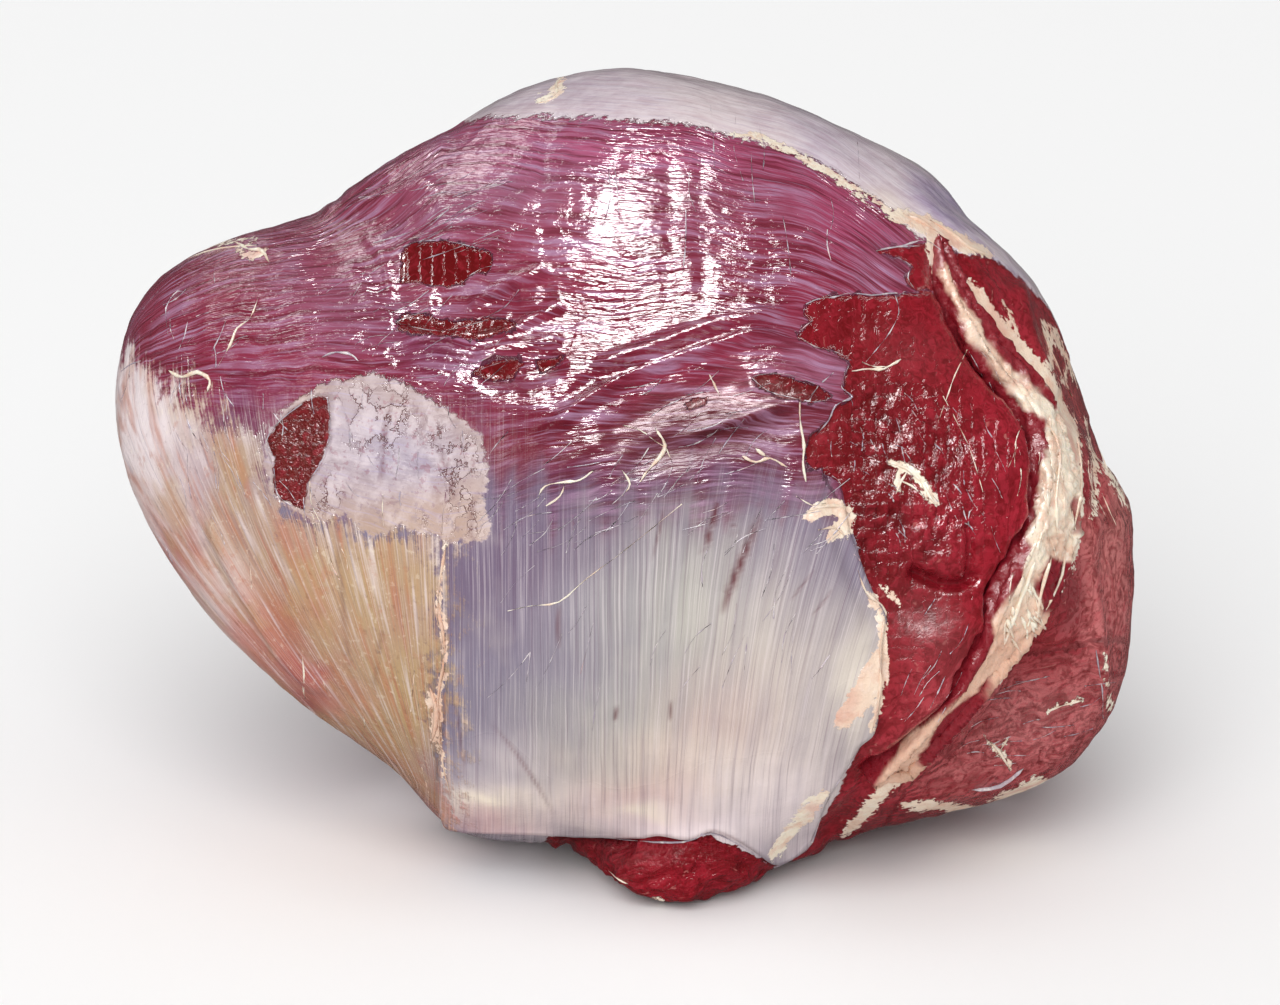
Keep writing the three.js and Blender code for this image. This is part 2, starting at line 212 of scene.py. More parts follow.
# Dark slits and cracks: line, half width in millimetres and strength.
SLITS = [
    ([(720, 492), (712, 525), (703, 557)], 0.6, 1.0),
    ([(762, 512), (746, 550), (731, 587), (722, 616)], 0.9, 1.0),
    ([(665, 505), (659, 532), (652, 562)], 0.4, 0.5),
    ([(742, 500), (735, 522), (730, 545)], 0.35, 0.4),
    ([(559, 604), (558, 626), (559, 650)], 0.45, 0.7),
    ([(617, 706), (615, 722)], 0.5, 0.8),
    ([(671, 700), (670, 722)], 0.45, 0.6),
    ([(815, 570), (802, 586), (790, 602)], 0.35, 0.4),
    ([(833, 588), (823, 603), (811, 617)], 0.35, 0.4),
    ([(490, 722), (515, 752), (540, 790), (556, 818)], 0.5, 0.4),
    ([(384, 622), (378, 655), (375, 690)], 0.4, 0.5),
    ([(452, 690), (460, 735), (466, 780)], 0.4, 0.4),
    ([(336, 520), (342, 600), (352, 680)], 0.5, 0.35),
    ([(480, 490), (470, 520), (476, 545)], 0.6, 0.5),
    ([(410, 400), (425, 420), (418, 440)], 0.6, 0.4),
    ([(430, 440), (446, 465), (460, 520)], 0.5, 0.5),
    ([(392, 395), (384, 440), (380, 500)], 0.45, 0.4),
]

# Fat that is smeared or grown on: line and width in millimetres.
FAT_SMEARS = [
    ([(930, 240), (945, 280), (975, 318), (1010, 360), (1046, 400)], 5),
    ([(955, 272), (985, 310), (1014, 345), (1046, 380), (1058, 404)], 5),
    ([(1046, 395), (1064, 440), (1066, 500), (1058, 560), (1036, 610)], 9),
    ([(1050, 570), (1030, 610), (1008, 650), (980, 690)], 7),
    ([(985, 690), (935, 745), (900, 775), (870, 805), (845, 835)], 3.5),
    ([(808, 518), (826, 508), (846, 515), (842, 530), (828, 540)], 4.5),
    ([(838, 725), (856, 705), (872, 680), (882, 650)], 6),
    ([(772, 858), (790, 832), (812, 806), (826, 792)], 3.5),
    ([(1042, 320), (1052, 345), (1048, 380)], 1.6),
    ([(1000, 300), (1016, 330), (1020, 360)], 1.0),
    ([(1086, 420), (1096, 470), (1094, 520)], 1.4),
    ([(730, 134), (765, 140), (800, 156), (850, 186), (900, 222)], 1.8),
    ([(893, 212), (920, 222), (950, 238), (990, 256)], 4),
    ([(890, 462), (912, 472), (926, 488), (938, 504)], 2.6),
    ([(908, 468), (896, 478), (900, 490)], 1.6),
    ([(985, 738), (1000, 752), (1012, 770)], 1.2),
    ([(1000, 752), (1008, 735)], 0.9),
    ([(1047, 711), (1062, 706), (1083, 700)], 1.0),
    ([(1104, 652), (1108, 690), (1112, 722)], 0.7),
    ([(985, 812), (1010, 800), (1046, 780)], 4.5),
    ([(900, 806), (940, 806), (985, 812)], 2.5),
    ([(1052, 330), (1068, 362), (1086, 396)], 1.4),
    ([(1068, 355), (1062, 385)], 0.8),
    ([(1100, 450), (1112, 480), (1128, 508)], 1.2),
    ([(606, 885), (618, 893), (626, 900)], 1.4),
    ([(652, 900), (668, 907)], 1.6),
    ([(537, 100), (550, 98), (558, 86), (563, 77)], 2.2),
    ([(865, 590), (882, 625), (880, 690), (870, 735)], 2.6),
    ([(880, 584), (892, 596), (899, 612)], 1.2),
    ([(446, 542), (440, 600), (446, 660), (437, 715), (444, 780)], 1.2),
    ([(430, 692), (436, 715), (434, 742)], 2.4),
    ([(237, 250), (252, 255), (266, 250)], 1.6),
    ([(180, 250), (215, 244), (258, 240)], 1.0),
]

# Shreds and strands that lie on the meat: line and thickness in millimetres.
LIPS = [
    ([(806, 304), (818, 299), (834, 297), (850, 293), (872, 295), (895, 293), (918, 296)], 0.6),
    ([(895, 295), (899, 312), (890, 332), (876, 350), (866, 362)], 0.4),
    ([(812, 321), (799, 334), (814, 346), (836, 352), (851, 360)], 0.6),
    ([(849, 366), (843, 378), (842, 388), (852, 397), (836, 405), (828, 421), (815, 436)], 0.8),
    ([(876, 251), (897, 247), (920, 246)], 0.7),
    ([(896, 257), (910, 265), (908, 278), (914, 288)], 0.6),
    ([(751, 377), (768, 391), (790, 397), (815, 402), (832, 397)], 0.5),
    ([(751, 377), (765, 374), (790, 375), (815, 384)], 0.4),
    ([(322, 357), (336, 352), (352, 355), (358, 361)], 1.0),
    ([(327, 397), (331, 438), (319, 466), (308, 484), (304, 512)], 0.5),
    ([(292, 506), (277, 494), (274, 470), (266, 442), (281, 420), (302, 404)], 0.5),
    ([(399, 250), (412, 243), (440, 240), (470, 246)], 0.4),
    ([(395, 322), (440, 331), (490, 319)], 0.4),
    ([(168, 334), (166, 308), (178, 291), (190, 296)], 0.5),
    ([(941, 250), (925, 240), (905, 245), (880, 249)], 0.6),
    ([(604, 838), (640, 841), (683, 842), (711, 833), (741, 846), (775, 867), (797, 856)], 1.0),
    ([(797, 857), (812, 842), (828, 800), (860, 748)], 0.8),
    ([(1096, 650), (1102, 690), (1103, 718)], 0.6),
    ([(972, 790), (1000, 786), (1024, 768)], 2.0),
]
FAT_STRANDS = [
    ([(852, 371), (868, 369), (884, 369), (901, 359)], 1.5),
    ([(862, 362), (876, 367), (890, 366)], 1.2),
    ([(800, 397), (800, 420), (804, 445), (803, 462), (806, 482)], 1.1),
    ([(967, 350), (955, 375), (946, 400), (938, 422)], 0.5),
    ([(943, 396), (960, 428), (972, 455), (983, 492)], 0.4),
    ([(538, 498), (545, 486), (565, 482), (580, 480), (594, 470)], 1.3),
    ([(565, 482), (560, 496), (546, 506)], 0.9),
    ([(655, 428), (665, 445), (659, 458), (648, 470), (640, 482)], 1.5),
    ([(665, 445), (673, 464)], 0.7),
    ([(622, 425), (640, 430), (655, 441), (665, 447)], 0.7),
    ([(622, 470), (630, 484), (622, 496)], 0.9),
    ([(258, 298), (250, 318), (237, 328), (230, 345), (218, 366)], 1.3),
    ([(168, 370), (182, 377), (197, 372), (210, 380), (207, 392)], 1.8),
    ([(234, 241), (248, 249), (262, 251), (269, 262)], 1.8),
    ([(180, 262), (205, 252), (230, 247), (258, 245)], 0.9),
    ([(537, 103), (550, 100), (557, 92), (556, 84), (563, 77)], 1.6),
    ([(709, 374), (714, 384), (720, 396)], 1.0),
    ([(742, 456), (756, 462), (770, 458), (787, 467)], 1.8),
    ([(755, 448), (766, 456)], 1.2),
    ([(682, 504), (650, 530), (616, 557), (585, 580), (559, 602), (530, 606), (508, 611)], 0.4),
    ([(858, 570), (866, 592), (882, 606), (888, 625)], 1.6),
    ([(884, 620), (880, 655), (880, 694), (872, 732)], 1.2),
    ([(806, 512), (822, 507), (840, 506), (850, 516)], 1.0),
    ([(818, 530), (836, 528), (848, 540)], 0.9),
    ([(796, 496), (812, 505), (826, 503)], 0.7),
    ([(890, 464), (906, 468), (920, 480), (932, 500), (940, 506)], 1.4),
    ([(908, 470), (901, 482), (896, 494)], 0.9),
    ([(898, 480), (912, 486), (924, 498)], 1.1),
    ([(446, 545), (438, 600), (445, 650), (438, 700), (442, 760), (451, 796)], 1.5),
    ([(430, 688), (437, 714), (431, 744)], 2.4),
    ([(930, 220), (950, 232), (970, 248), (990, 256)], 2.2),
    ([(903, 213), (922, 222), (940, 233)], 1.8),
    ([(985, 738), (998, 750), (1010, 770)], 1.2),
    ([(1000, 751), (1009, 736)], 0.8),
    ([(1046, 712), (1062, 706), (1084, 700)], 0.9),
    ([(1042, 330), (1056, 362), (1072, 396)], 1.0),
    ([(1098, 446), (1112, 480), (1130, 512)], 1.1),
    ([(1036, 560), (1024, 590), (1012, 622), (1002, 650)], 2.4),
    ([(1052, 556), (1042, 590), (1036, 625)], 1.9),
    ([(1066, 540), (1062, 575), (1046, 610)], 1.5),
    ([(1046, 420), (1060, 450), (1056, 500), (1058, 540)], 2.0),
    ([(1076, 430), (1082, 480), (1074, 530)], 1.6),
    ([(608, 870), (618, 879), (628, 884)], 1.2),
]

# Thin wisps: first and last pixel of the field, angle, spread, length in pixels, thickness, count.
LIP_AND_GLINT_WISPS = [
    ((490, 450), (840, 545), -38, 30, 40, 0.15, 50),
    ((500, 560), (830, 720), -66, 20, 44, 0.13, 20),
    ((120, 250), (250, 400), -60, 50, 26, 0.3, 26),
    ((330, 170), (500, 250), -22, 8, 60, 0.24, 26),
    ((340, 270), (520, 380), -30, 24, 40, 0.22, 20),
    ((560, 130), (860, 260), 88, 8, 50, 0.18, 12),
    ((640, 380), (830, 460), -30, 24, 36, 0.24, 16),
    ((140, 380), (240, 560), 72, 16, 44, 0.26, 16),
    ((250, 400), (480, 530), 75, 30, 24, 0.3, 20),
    # These four fields lay pale wisps on the bare muscle as painted wet glints.
    ((900, 310), (1010, 560), 64, 12, 30, 0.2, 16),
    ((960, 670), (1100, 780), -14, 14, 26, 0.24, 18),
    ((830, 400), (970, 560), 60, 40, 12, 0.22, 26),
    ((880, 600), (960, 720), 116, 14, 26, 0.22, 10),
]
FAT_WISPS = [
    ((1060, 300), (1110, 540), 72, 14, 26, 0.4, 12),
    ((230, 450), (440, 800), 80, 16, 30, 0.3, 22),
    ((1045, 420), (1076, 560), 82, 10, 22, 0.9, 16),
    ((1004, 590), (1044, 650), 70, 24, 16, 1.4, 18),
    ((1010, 430), (1050, 600), 100, 10, 22, 0.5, 12),
]

# Soft lumps of the bare meat: pixel, radius in pixels, height in millimetres.
MEAT_LUMPS = [
    (945, 552, 26, 2.0), (900, 610, 24, -1.2), (880, 480, 34, 0.9), (1000, 470, 30, 1.2),
    (860, 330, 34, -1.2), (935, 650, 30, 0.2), (1068, 590, 26, -1.6), (1075, 690, 26, 1.0),
    (990, 740, 40, 0.8), (640, 870, 26, 1.4), (700, 868, 30, 1.6), (745, 876, 18, 1.0),
    (1112, 520, 22, 1.2), (905, 540, 18, -0.9), (1015, 760, 16, -0.8),
]
PHOTO_LINES = {
    "top_flow": [(115, 330), (150, 270), (185, 249), (230, 238), (320, 215), (400, 160), (492, 116),
                 (607, 119), (687, 124), (735, 138), (792, 151), (838, 175), (895, 217), (939, 250),
                 (1010, 290)],
    "low_flow": [(115, 400), (200, 395), (320, 400), (440, 410), (600, 400), (760, 395), (940, 430)],
}


def linear(red, green, blue):
    """A colour given by its screen values from 0 to 255, as light."""
    values = [v / 255 for v in (red, green, blue)]
    return tuple(v / 12.92 if v <= 0.04045 else ((v + 0.055) / 1.055) ** 2.4 for v in values)


def shade(name, description, *screen):
    return bpy.props.FloatVectorProperty(
        name=name, description=description, default=linear(*screen), subtype="COLOR", size=3,
        min=0, max=1,
    )


class KnuckleColours(bpy.types.PropertyGroup):
    """Colours of the meat, its membranes and its fat."""

    mauve: shade("Mauve", "Film over red muscle", 142, 44, 68)
    rose: shade("Rose", "Thin film near the top membrane", 178, 76, 114)
    lavender: shade("Lavender", "Milky threads of the film", 178, 136, 168)
    # Wine is also laid below the folds as painted shade.
    wine: shade("Wine", "Film in the folds", 96, 16, 30)
    plum: shade("Plum", "Top of the tendon sheet", 96, 54, 88)
    red: shade("Red", "Bare muscle", 146, 22, 36)
    # Blood red is also laid under the free edge of the sheet as painted shadow.
    blood: shade("Blood red", "Muscle in the torn windows", 100, 6, 10)
    brown: shade("Brown", "Dry muscle in the left window", 98, 32, 26)
    raspberry: shade("Raspberry", "Bright bare muscle", 170, 42, 58)
    dusty: shade("Dusty red", "Muscle of the cut face", 206, 120, 120)
    tan: shade("Tan", "Tan layer", 184, 150, 124)
    olive: shade("Olive", "Yellowish parts of the tan layer", 188, 156, 104)
    orange: shade("Orange", "Warm parts of the tan layer", 186, 108, 76)
    pink: shade("Pink", "Pink lower edge", 212, 136, 128)
    # Pearl is also laid as a painted reflection at the left end and along the lower edge of the sheet.
    pearl: shade("Pearl", "Whitish membrane", 238, 224, 226)
    # Haze is the lavender of the shiny patch, partly a painted reflection.
    haze_and_sheen: shade("Haze", "Shiny lavender membrane", 166, 152, 166)
    violet: shade("Violet", "Bluish membrane", 172, 158, 194)
    slate: shade("Slate", "Blue grey of the sheet", 126, 116, 138)
    mist: shade("Mist", "Greenish grey of the sheet", 182, 180, 168)
    bone: shade("Bone", "Warm white of the sheet", 226, 212, 196)
    # Cream is also laid on the wet lower edge of the sheet as painted highlights.
    cream: shade("Cream", "Fat", 248, 236, 214)
    peach: shade("Peach", "Pinkish fat", 220, 168, 142)
    floor: shade("Floor", "Floor under the meat", 250, 250, 250)


class KnuckleSizes(bpy.types.PropertyGroup):
    """Sizes of the finish, in metres."""

    grain: bpy.props.FloatProperty(
        name="Mesh grain", description="Side of the coarse faces of the meat", default=0.003,
        unit="LENGTH",
    )
    film: bpy.props.FloatProperty(
        name="Film", description="How deep the torn windows lie under the film", default=0.0007,
        unit="LENGTH",
    )
    sheet: bpy.props.FloatProperty(
        name="Sheet", description="Thickness of the tendon sheet", default=0.0011, unit="LENGTH",
    )
    sheet_grain: bpy.props.FloatProperty(
        name="Sheet grain", description="Side of the faces of the sheet", default=0.0007,
        unit="LENGTH",
    )


def sizes():
    return bpy.context.scene.knuckle_sizes


def colour(name):
    return np.array(getattr(bpy.context.scene.knuckle_colours, name))


# Measuring and noise on whole lists of points.
def smooth(low, high, x):
    """Rises from 0 at low to 1 at high."""
    t = np.clip((x - low) / (high - low), 0, 1)
    return t * t * (3 - 2 * t)


def lumps(points, size, seed=0.0):
    """Smooth bumps from -1 to 1, about size apart, the same on every run."""
    place = np.asarray(points, float) / size
    if place.shape[1] == 3:
        c, s = math.cos(seed), math.sin(seed)
        place = place @ np.array([[0.8 * c, -0.8 * s, 0.6], [s, c, 0], [-0.6 * c, 0.6 * s, 0.8]])
    place = place + seed * 17.3
    cell = np.floor(place)
    part = place - cell
    fade = part * part * part * (part * (part * 6 - 15) + 10)
    total = np.zeros(len(place))
    for corner in itertools.product((0, 1), repeat=place.shape[1]):
        share = np.prod(np.where(corner, fade, 1 - fade), axis=1)
        key = (cell + corner) @ np.array([127.1, 311.7, 74.7])[: place.shape[1]]
        wave = np.sin(key) * 43758.5453
        total += share * (wave - np.floor(wave))
    return 2 * total - 1


def uneven(points, size, seed=0.0):
    """Bumps with finer bumps on them."""
    return lumps(points, size, seed) * 0.6 + lumps(points, size / 2.3, seed + 1) * 0.4


def curve(points, steps=6, closed=False):
    """A smooth line through points, with a number of steps between each two."""
    points = np.asarray(points, float)
    count = len(points)
    spans = count if closed else count - 1
    made = []
    for i in range(spans):
        if closed:
            p = [points[(i + k) % count] for k in (-1, 0, 1, 2)]
        else:
            p = [points[min(max(i + k, 0), count - 1)] for k in (-1, 0, 1, 2)]
        for t in np.arange(steps) / steps:
            made.append(
                0.5 * (2 * p[1] + (p[2] - p[0]) * t
                       + (2 * p[0] - 5 * p[1] + 4 * p[2] - p[3]) * t * t
                       + (3 * p[1] - p[0] - 3 * p[2] + p[3]) * t ** 3)
            )
    if not closed:
        made.append(points[-1])
    return np.array(made)


def nearest(points, line, closed=False):
    """Distance of each point to a line, how far along it that is, and the nearest place.

    Among many points, those far from the line get what the middle of their cell has.
    """
    line = np.asarray(line, float)
    if len(points) > FEW_POINTS:
        low = np.floor(points.min(0) / CELL).astype(int)
        cells = np.floor(points / CELL).astype(int) - low
        rows, columns = cells.max(0) + 1
        middles = np.stack(np.meshgrid(np.arange(rows), np.arange(columns), indexing="ij"), axis=-1)
        middles = (middles.reshape(-1, 2) + low + 0.5) * CELL
        number = cells[:, 0] * columns + cells[:, 1]
        best, along, place = (values[number] for values in nearest(middles, line, closed))
        near = best < 2 * CELL
        if near.any():
            best[near], along[near], place[near] = measure(points[near], line, closed)
        return best, along, place
    return measure(points, line, closed)


def measure(points, line, closed):
    ends = np.roll(line, -1, axis=0) if closed else line[1:]
    starts = line if closed else line[:-1]
    best = np.full(len(points), np.inf)
    along = np.zeros(len(points))
    place = np.zeros((len(points), 2))
    for i, (a, b) in enumerate(zip(starts, ends)):
        step = b - a
        t = np.clip((points - a) @ step / max(step @ step, 1e-9), 0, 1)
        foot = a + t[:, None] * step
        distance = np.hypot(*(points - foot).T)
        closer = distance < best
        best[closer] = distance[closer]
        along[closer] = (i + t[closer]) / len(starts)
        place[closer] = foot[closer]
    return best, along, place


def within(points, outline):
    """Distance in pixels to an outline, positive inside it."""
    inside = np.zeros(len(points), bool)
    for (ax, ay), (bx, by) in zip(outline, np.roll(outline, -1, axis=0)):
        crosses = (ay > points[:, 1]) != (by > points[:, 1])
        with np.errstate(divide="ignore", invalid="ignore"):
            at = (bx - ax) * (points[:, 1] - ay) / (by - ay) + ax
        inside ^= crosses & (points[:, 0] < at)
    distance = nearest(points, outline, closed=True)[0]
    return np.where(inside, distance, -distance)


def aim_point():
    """The point that the camera looks at, in the plane of the middle of the meat."""
    offset = (PHOTO_CENTRE - PHOTO_MIDDLE) * MM_PER_PIXEL * MM
    return MIDDLE + ACROSS * offset[0] - UP * offset[1]


def camera_point():
    return aim_point() + OUT * CAMERA_DISTANCE * MM


def pixel_rays(pixels):
    """Start and directions of the camera's rays through pixels of the photograph."""
    offsets = (np.asarray(pixels, float) - PHOTO_CENTRE) * MM_PER_PIXEL * MM
    start = camera_point()
    directions = aim_point() + offsets[:, :1] * ACROSS - offsets[:, 1:] * UP - start
    return start, directions / np.linalg.norm(directions, axis=1)[:, None]


class Place:
    """Where the points of a mesh are: in the leaning frame, in the photograph, in each region."""

    def __init__(self, points):
        self.points = points
        local = (points - MIDDLE) / MM
        self.across, self.up, self.out = local @ ACROSS, local @ UP, local @ OUT
        nearer = CAMERA_DISTANCE / (CAMERA_DISTANCE - self.out)
        shift = (aim_point() - MIDDLE) / MM
        self.pixel = np.stack([
            PHOTO_CENTRE[0] + (self.across - shift @ ACROSS) * nearer / MM_PER_PIXEL,
            PHOTO_CENTRE[1] - (self.up - shift @ UP) * nearer / MM_PER_PIXEL,
        ], axis=1)
        self.front = smooth(-16, 6, self.out)
        millimetres = points / MM
        self.millimetres = millimetres
        wobble = np.stack([uneven(millimetres, 6, 1), uneven(millimetres, 6, 5)], axis=1)
        fine = np.stack([lumps(millimetres, 1.9, 3), lumps(millimetres, 1.9, 8)], axis=1)
        self.ragged = self.pixel + wobble * 3.5 + fine * 1.6
        self.spread = self.pixel + np.stack(
            [uneven(millimetres, 16, 2), uneven(millimetres, 16, 6)], axis=1) * 22
        self.warp = np.stack([uneven(millimetres, 8, seed) for seed in (12, 16, 19)], axis=1) * (3, 7, 3)

    def signed(self, outline, rough=True):
        """Distance in millimetres to an outline in the photograph, positive inside it."""
        return within(self.ragged if rough else self.pixel, outline) * MM_PER_PIXEL

    def turned(self):
        """Angle round the long axis: 0 out of the silverskin side, a quarter turn at the top."""
        angle = np.arctan2(self.up, self.out)
        cut = 0.75 * math.pi
        return (angle + cut) % (2 * math.pi) - cut

    def regions(self):
        bare = self.signed(BARE_BUTT)
        for window in WINDOWS + [BROWN_WINDOW]:
            bare = np.maximum(bare, self.signed(window))
        behind = self.across - 92 + 9 * uneven(self.millimetres, 24, 11)
        hollow = 5 * uneven(self.millimetres, 30, 14) - 3.2
        self.bare = self.front * bare + (1 - self.front) * np.maximum(behind, hollow)
        pale = np.maximum(self.signed(TOP_MEMBRANE), self.signed(SHINY_PATCH))
        top = self.up - 60 + 8 * uneven(self.millimetres, 30, 21)
        bed = 11 - np.abs(self.up + 4 + 12 * uneven(self.millimetres, 30, 4))
        bed = np.minimum(bed, 0.5 * (self.across + 55) + 9 * uneven(self.millimetres, 20, 6))
        under = -self.up - 62 + 7 * uneven(self.millimetres, 25, 31)
        rear = np.maximum(np.maximum(top, bed), under)
        self.pale = self.front * pale + (1 - self.front) * rear
        self.tan = self.front * self.signed(TAN_LAYER) - 9 * (1 - self.front)
        self.window = np.maximum.reduce([self.signed(w) for w in WINDOWS])
        fatty = np.full(len(self.points), -9.0)
        for line, width in FAT_SMEARS:
            distance, along, _ = nearest(self.ragged, curve(line, 4))
            half = width / 2 * (0.35 + 0.65 * np.sqrt(np.clip(4 * along * (1 - along), 0, 1)))
            fatty = np.maximum(fatty, half - distance * MM_PER_PIXEL)
        self.fatty = self.front * fatty - 9 * (1 - self.front)


def lay(layer, place, washes):
    """Lays soft patches of colour or value on a layer: pixel, radii, turn, what, strength."""
    for x, y, wide, high, turn, what, strength in washes:
        c, s = math.cos(math.radians(turn)), math.sin(math.radians(turn))
        dx, dy = (place.spread - (x, y)).T
        reach = ((dx * c + dy * s) / wide) ** 2 + ((dy * c - dx * s) / high) ** 2
        share = strength * np.exp(-reach) * place.front
        if layer.ndim == 2:
            layer += (colour(what) - layer) * share[:, None]
        else:
            layer += (what - layer) * share
    return layer


FILM_WASHES = [
    (600, 145, 190, 26, 0, "rose", 0.9),
    (860, 225, 90, 30, 38, "rose", 0.6),
    (480, 190, 110, 50, -20, "lavender", 0.32),
    (650, 200, 150, 60, 0, "lavender", 0.2),
    (330, 300, 90, 60, 0, "lavender", 0.22),
    # This wine wash below the folds is painted shade, where the folds shade the film.
    (700, 440, 150, 34, -8, "wine", 0.85),
    (560, 420, 70, 34, -20, "wine", 0.5),
    (640, 330, 160, 50, -15, "wine", 0.3),
    (240, 340, 60, 60, 0, "mauve", 0.6),
    (240, 430, 60, 40, 0, "plum", 0.6),
    (430, 360, 80, 30, 20, "plum", 0.45),
    (560, 505, 130, 34, -5, "plum", 0.95),
    (720, 490, 130, 30, -5, "plum", 0.8),
    (820, 365, 60, 30, 0, "lavender", 0.3),
    (900, 270, 40, 24, 0, "lavender", 0.3),
]
SHEET_WASHES = [
    (530, 590, 130, 90, 0, "plum", 0.7),
    (720, 530, 130, 50, 0, "plum", 0.5),
    (500, 700, 90, 130, 0, "slate", 0.75),
    (600, 640, 70, 90, 0, "slate", 0.8),
    # This pearl along the lower edge is pale sheet, also brightened as a painted reflection of the floor.
    (520, 800, 120, 34, 0, "pearl", 0.8),
    (690, 600, 90, 80, -15, "mist", 0.8),
    (800, 560, 80, 60, -20, "slate", 0.45),
    (650, 730, 120, 90, 0, "mist", 0.7),
    (780, 680, 90, 110, 0, "bone", 0.6),
    (700, 790, 150, 60, 0, "bone", 0.95),
    # Pearl here and in the next wash: pale sheet with a painted reflection of the floor.
    (700, 820, 130, 34, 0, "pearl", 0.9),
    (790, 800, 60, 60, 0, "pearl", 0.6),
    (640, 800, 60, 40, 0, "pink", 0.3),
    (720, 720, 60, 50, 0, "pink", 0.18),
    (480, 815, 60, 22, 0, "pink", 0.4),
    (860, 690, 22, 60, 0, "cream", 0.6),
    # Cream spots on the wet lower edge of the sheet: painted highlights.
    (487, 797, 52, 13, 0, "cream", 0.85),
    (646, 813, 30, 11, 0, "cream", 0.8),
]
PALE_WASHES = [
    # Pearl at the left end: whitish membrane, with a painted reflection of the bright room along its rim.
    (140, 430, 45, 130, 0, "pearl", 0.95),
    (120, 360, 60, 60, 0, "pearl", 0.9),
    (190, 480, 26, 60, 0, "violet", 0.3),
    (160, 580, 44, 60, -25, "pink", 0.7),
    (175, 560, 14, 20, 0, "raspberry", 0.5),
    (215, 600, 40, 60, -25, "pearl", 0.5),
    (290, 620, 40, 34, 50, "orange", 0.8),
    (250, 640, 26, 40, -35, "pink", 0.7),
    (320, 700, 60, 24, 40, "pink", 0.8),
    (312, 672, 40, 20, 40, "raspberry", 0.75),
    (305, 702, 26, 16, 30, "red", 0.7),
    (420, 810, 50, 16, 50, "raspberry", 0.45),
    (385, 620, 60, 90, 0, "tan", 0.5),
    (360, 590, 50, 60, 0, "olive", 0.35),
    (400, 710, 50, 60, 0, "olive", 0.8),
    (400, 780, 40, 34, 40, "orange", 0.6),
    (440, 815, 40, 26, 0, "pink", 0.8),
    (430, 770, 36, 40, 0, "haze_and_sheen", 0.4),
    # Haze over the shiny patch: pale film, with a painted reflection in its colour.
    (300, 460, 60, 50, 0, "haze_and_sheen", 0.7),
    (400, 450, 110, 75, 15, "haze_and_sheen", 1.0),
    (440, 510, 60, 30, 0, "tan", 0.4),
    (600, 95, 130, 26, 0, "violet", 0.35),
    (540, 105, 90, 16, 0, "haze_and_sheen", 0.3),
    (720, 110, 90, 30, 10, "pearl", 1.0),
    (830, 145, 70, 24, 40, "violet", 0.55),
    (860, 170, 90, 16, 40, "pearl", 0.4),
    (945, 205, 50, 16, 42, "violet", 0.9),
    (1000, 262, 40, 16, 45, "violet", 0.6),
    (900, 220, 40, 12, 40, "cream", 0.5),
]
FLESH_WASHES = [
    (870, 440, 60, 70, 0, "blood", 0.75),
    (850, 325, 60, 30, 0, "blood", 0.6),
    (950, 370, 60, 60, 0, "red", 0.7),
    (1010, 330, 34, 50, 0, "raspberry", 0.7),
    (1010, 450, 40, 70, 20, "raspberry", 0.5),
    (935, 545, 50, 40, 0, "raspberry", 0.75),
    (890, 570, 40, 34, 0, "blood", 0.7),
    (900, 650, 40, 50, 0, "red", 0.5),
    (950, 690, 60, 30, -45, "raspberry", 0.5),
    (1100, 450, 40, 90, 0, "raspberry", 0.5),
    (1090, 600, 34, 60, 0, "dusty", 0.75),
    (1074, 600, 20, 36, 0, "wine", 0.85),
    (1110, 650, 30, 60, 0, "dusty", 0.8),
    (1125, 520, 40, 140, 0, "dusty", 0.95),
    (1120, 480, 24, 120, 0, "pink", 0.5),
    (1070, 400, 24, 70, -15, "pink", 0.25),
    (1040, 725, 90, 60, 0, "dusty", 0.95),
    (960, 780, 60, 34, 0, "dusty", 0.7),
    (660, 870, 90, 40, 0, "red", 0.3),
    # Blood red just under the free edge of the sheet, here and in the next wash: painted shadow of the edge,
    # over the darker flap.
    (580, 850, 40, 20, 0, "blood", 0.8),
    (720, 855, 60, 18, 0, "blood", 0.6),
    (300, 450, 50, 80, 0, "brown", 1.0),
]
GLOSS_WASHES = [
    (400, 450, 120, 80, 15, 0.9, 1.0),
    (640, 640, 240, 150, 0, 0.18, 1.0),
    (300, 620, 150, 120, 0, 0.35, 0.9),
    (140, 450, 60, 160, 0, 0.35, 0.9),
    (470, 795, 60, 16, 0, 0.95, 0.9),
    (645, 812, 30, 10, 0, 0.9, 0.8),
    (1040, 720, 90, 70, 0, 0.45, 0.8),
    (920, 360, 70, 50, 0, 0.35, 0.8),
    (720, 436, 110, 36, -10, 0.1, 1.0),
    (690, 405, 110, 20, -18, 0.3, 0.8),
    (900, 480, 110, 130, 0, 0.7, 0.9),
    (925, 630, 50, 50, 0, 0.3, 0.9),
    (500, 480, 60, 40, 0, 0.5, 0.8),
]
PEACH_WASHES = [
    (860, 690, 40, 80, 0, 1.0, 1.0),
    (440, 680, 30, 170, 0, 1.0, 1.0),
    (940, 770, 80, 60, 0, 0.8, 1.0),
    (1078, 380, 30, 100, 0, 1.0, 0.9),
    (830, 525, 40, 30, 0, 0.6, 1.0),
    (940, 225, 70, 30, 0, 0.7, 1.0),
    (995, 330, 60, 70, 0, 1.0, 1.0),
]


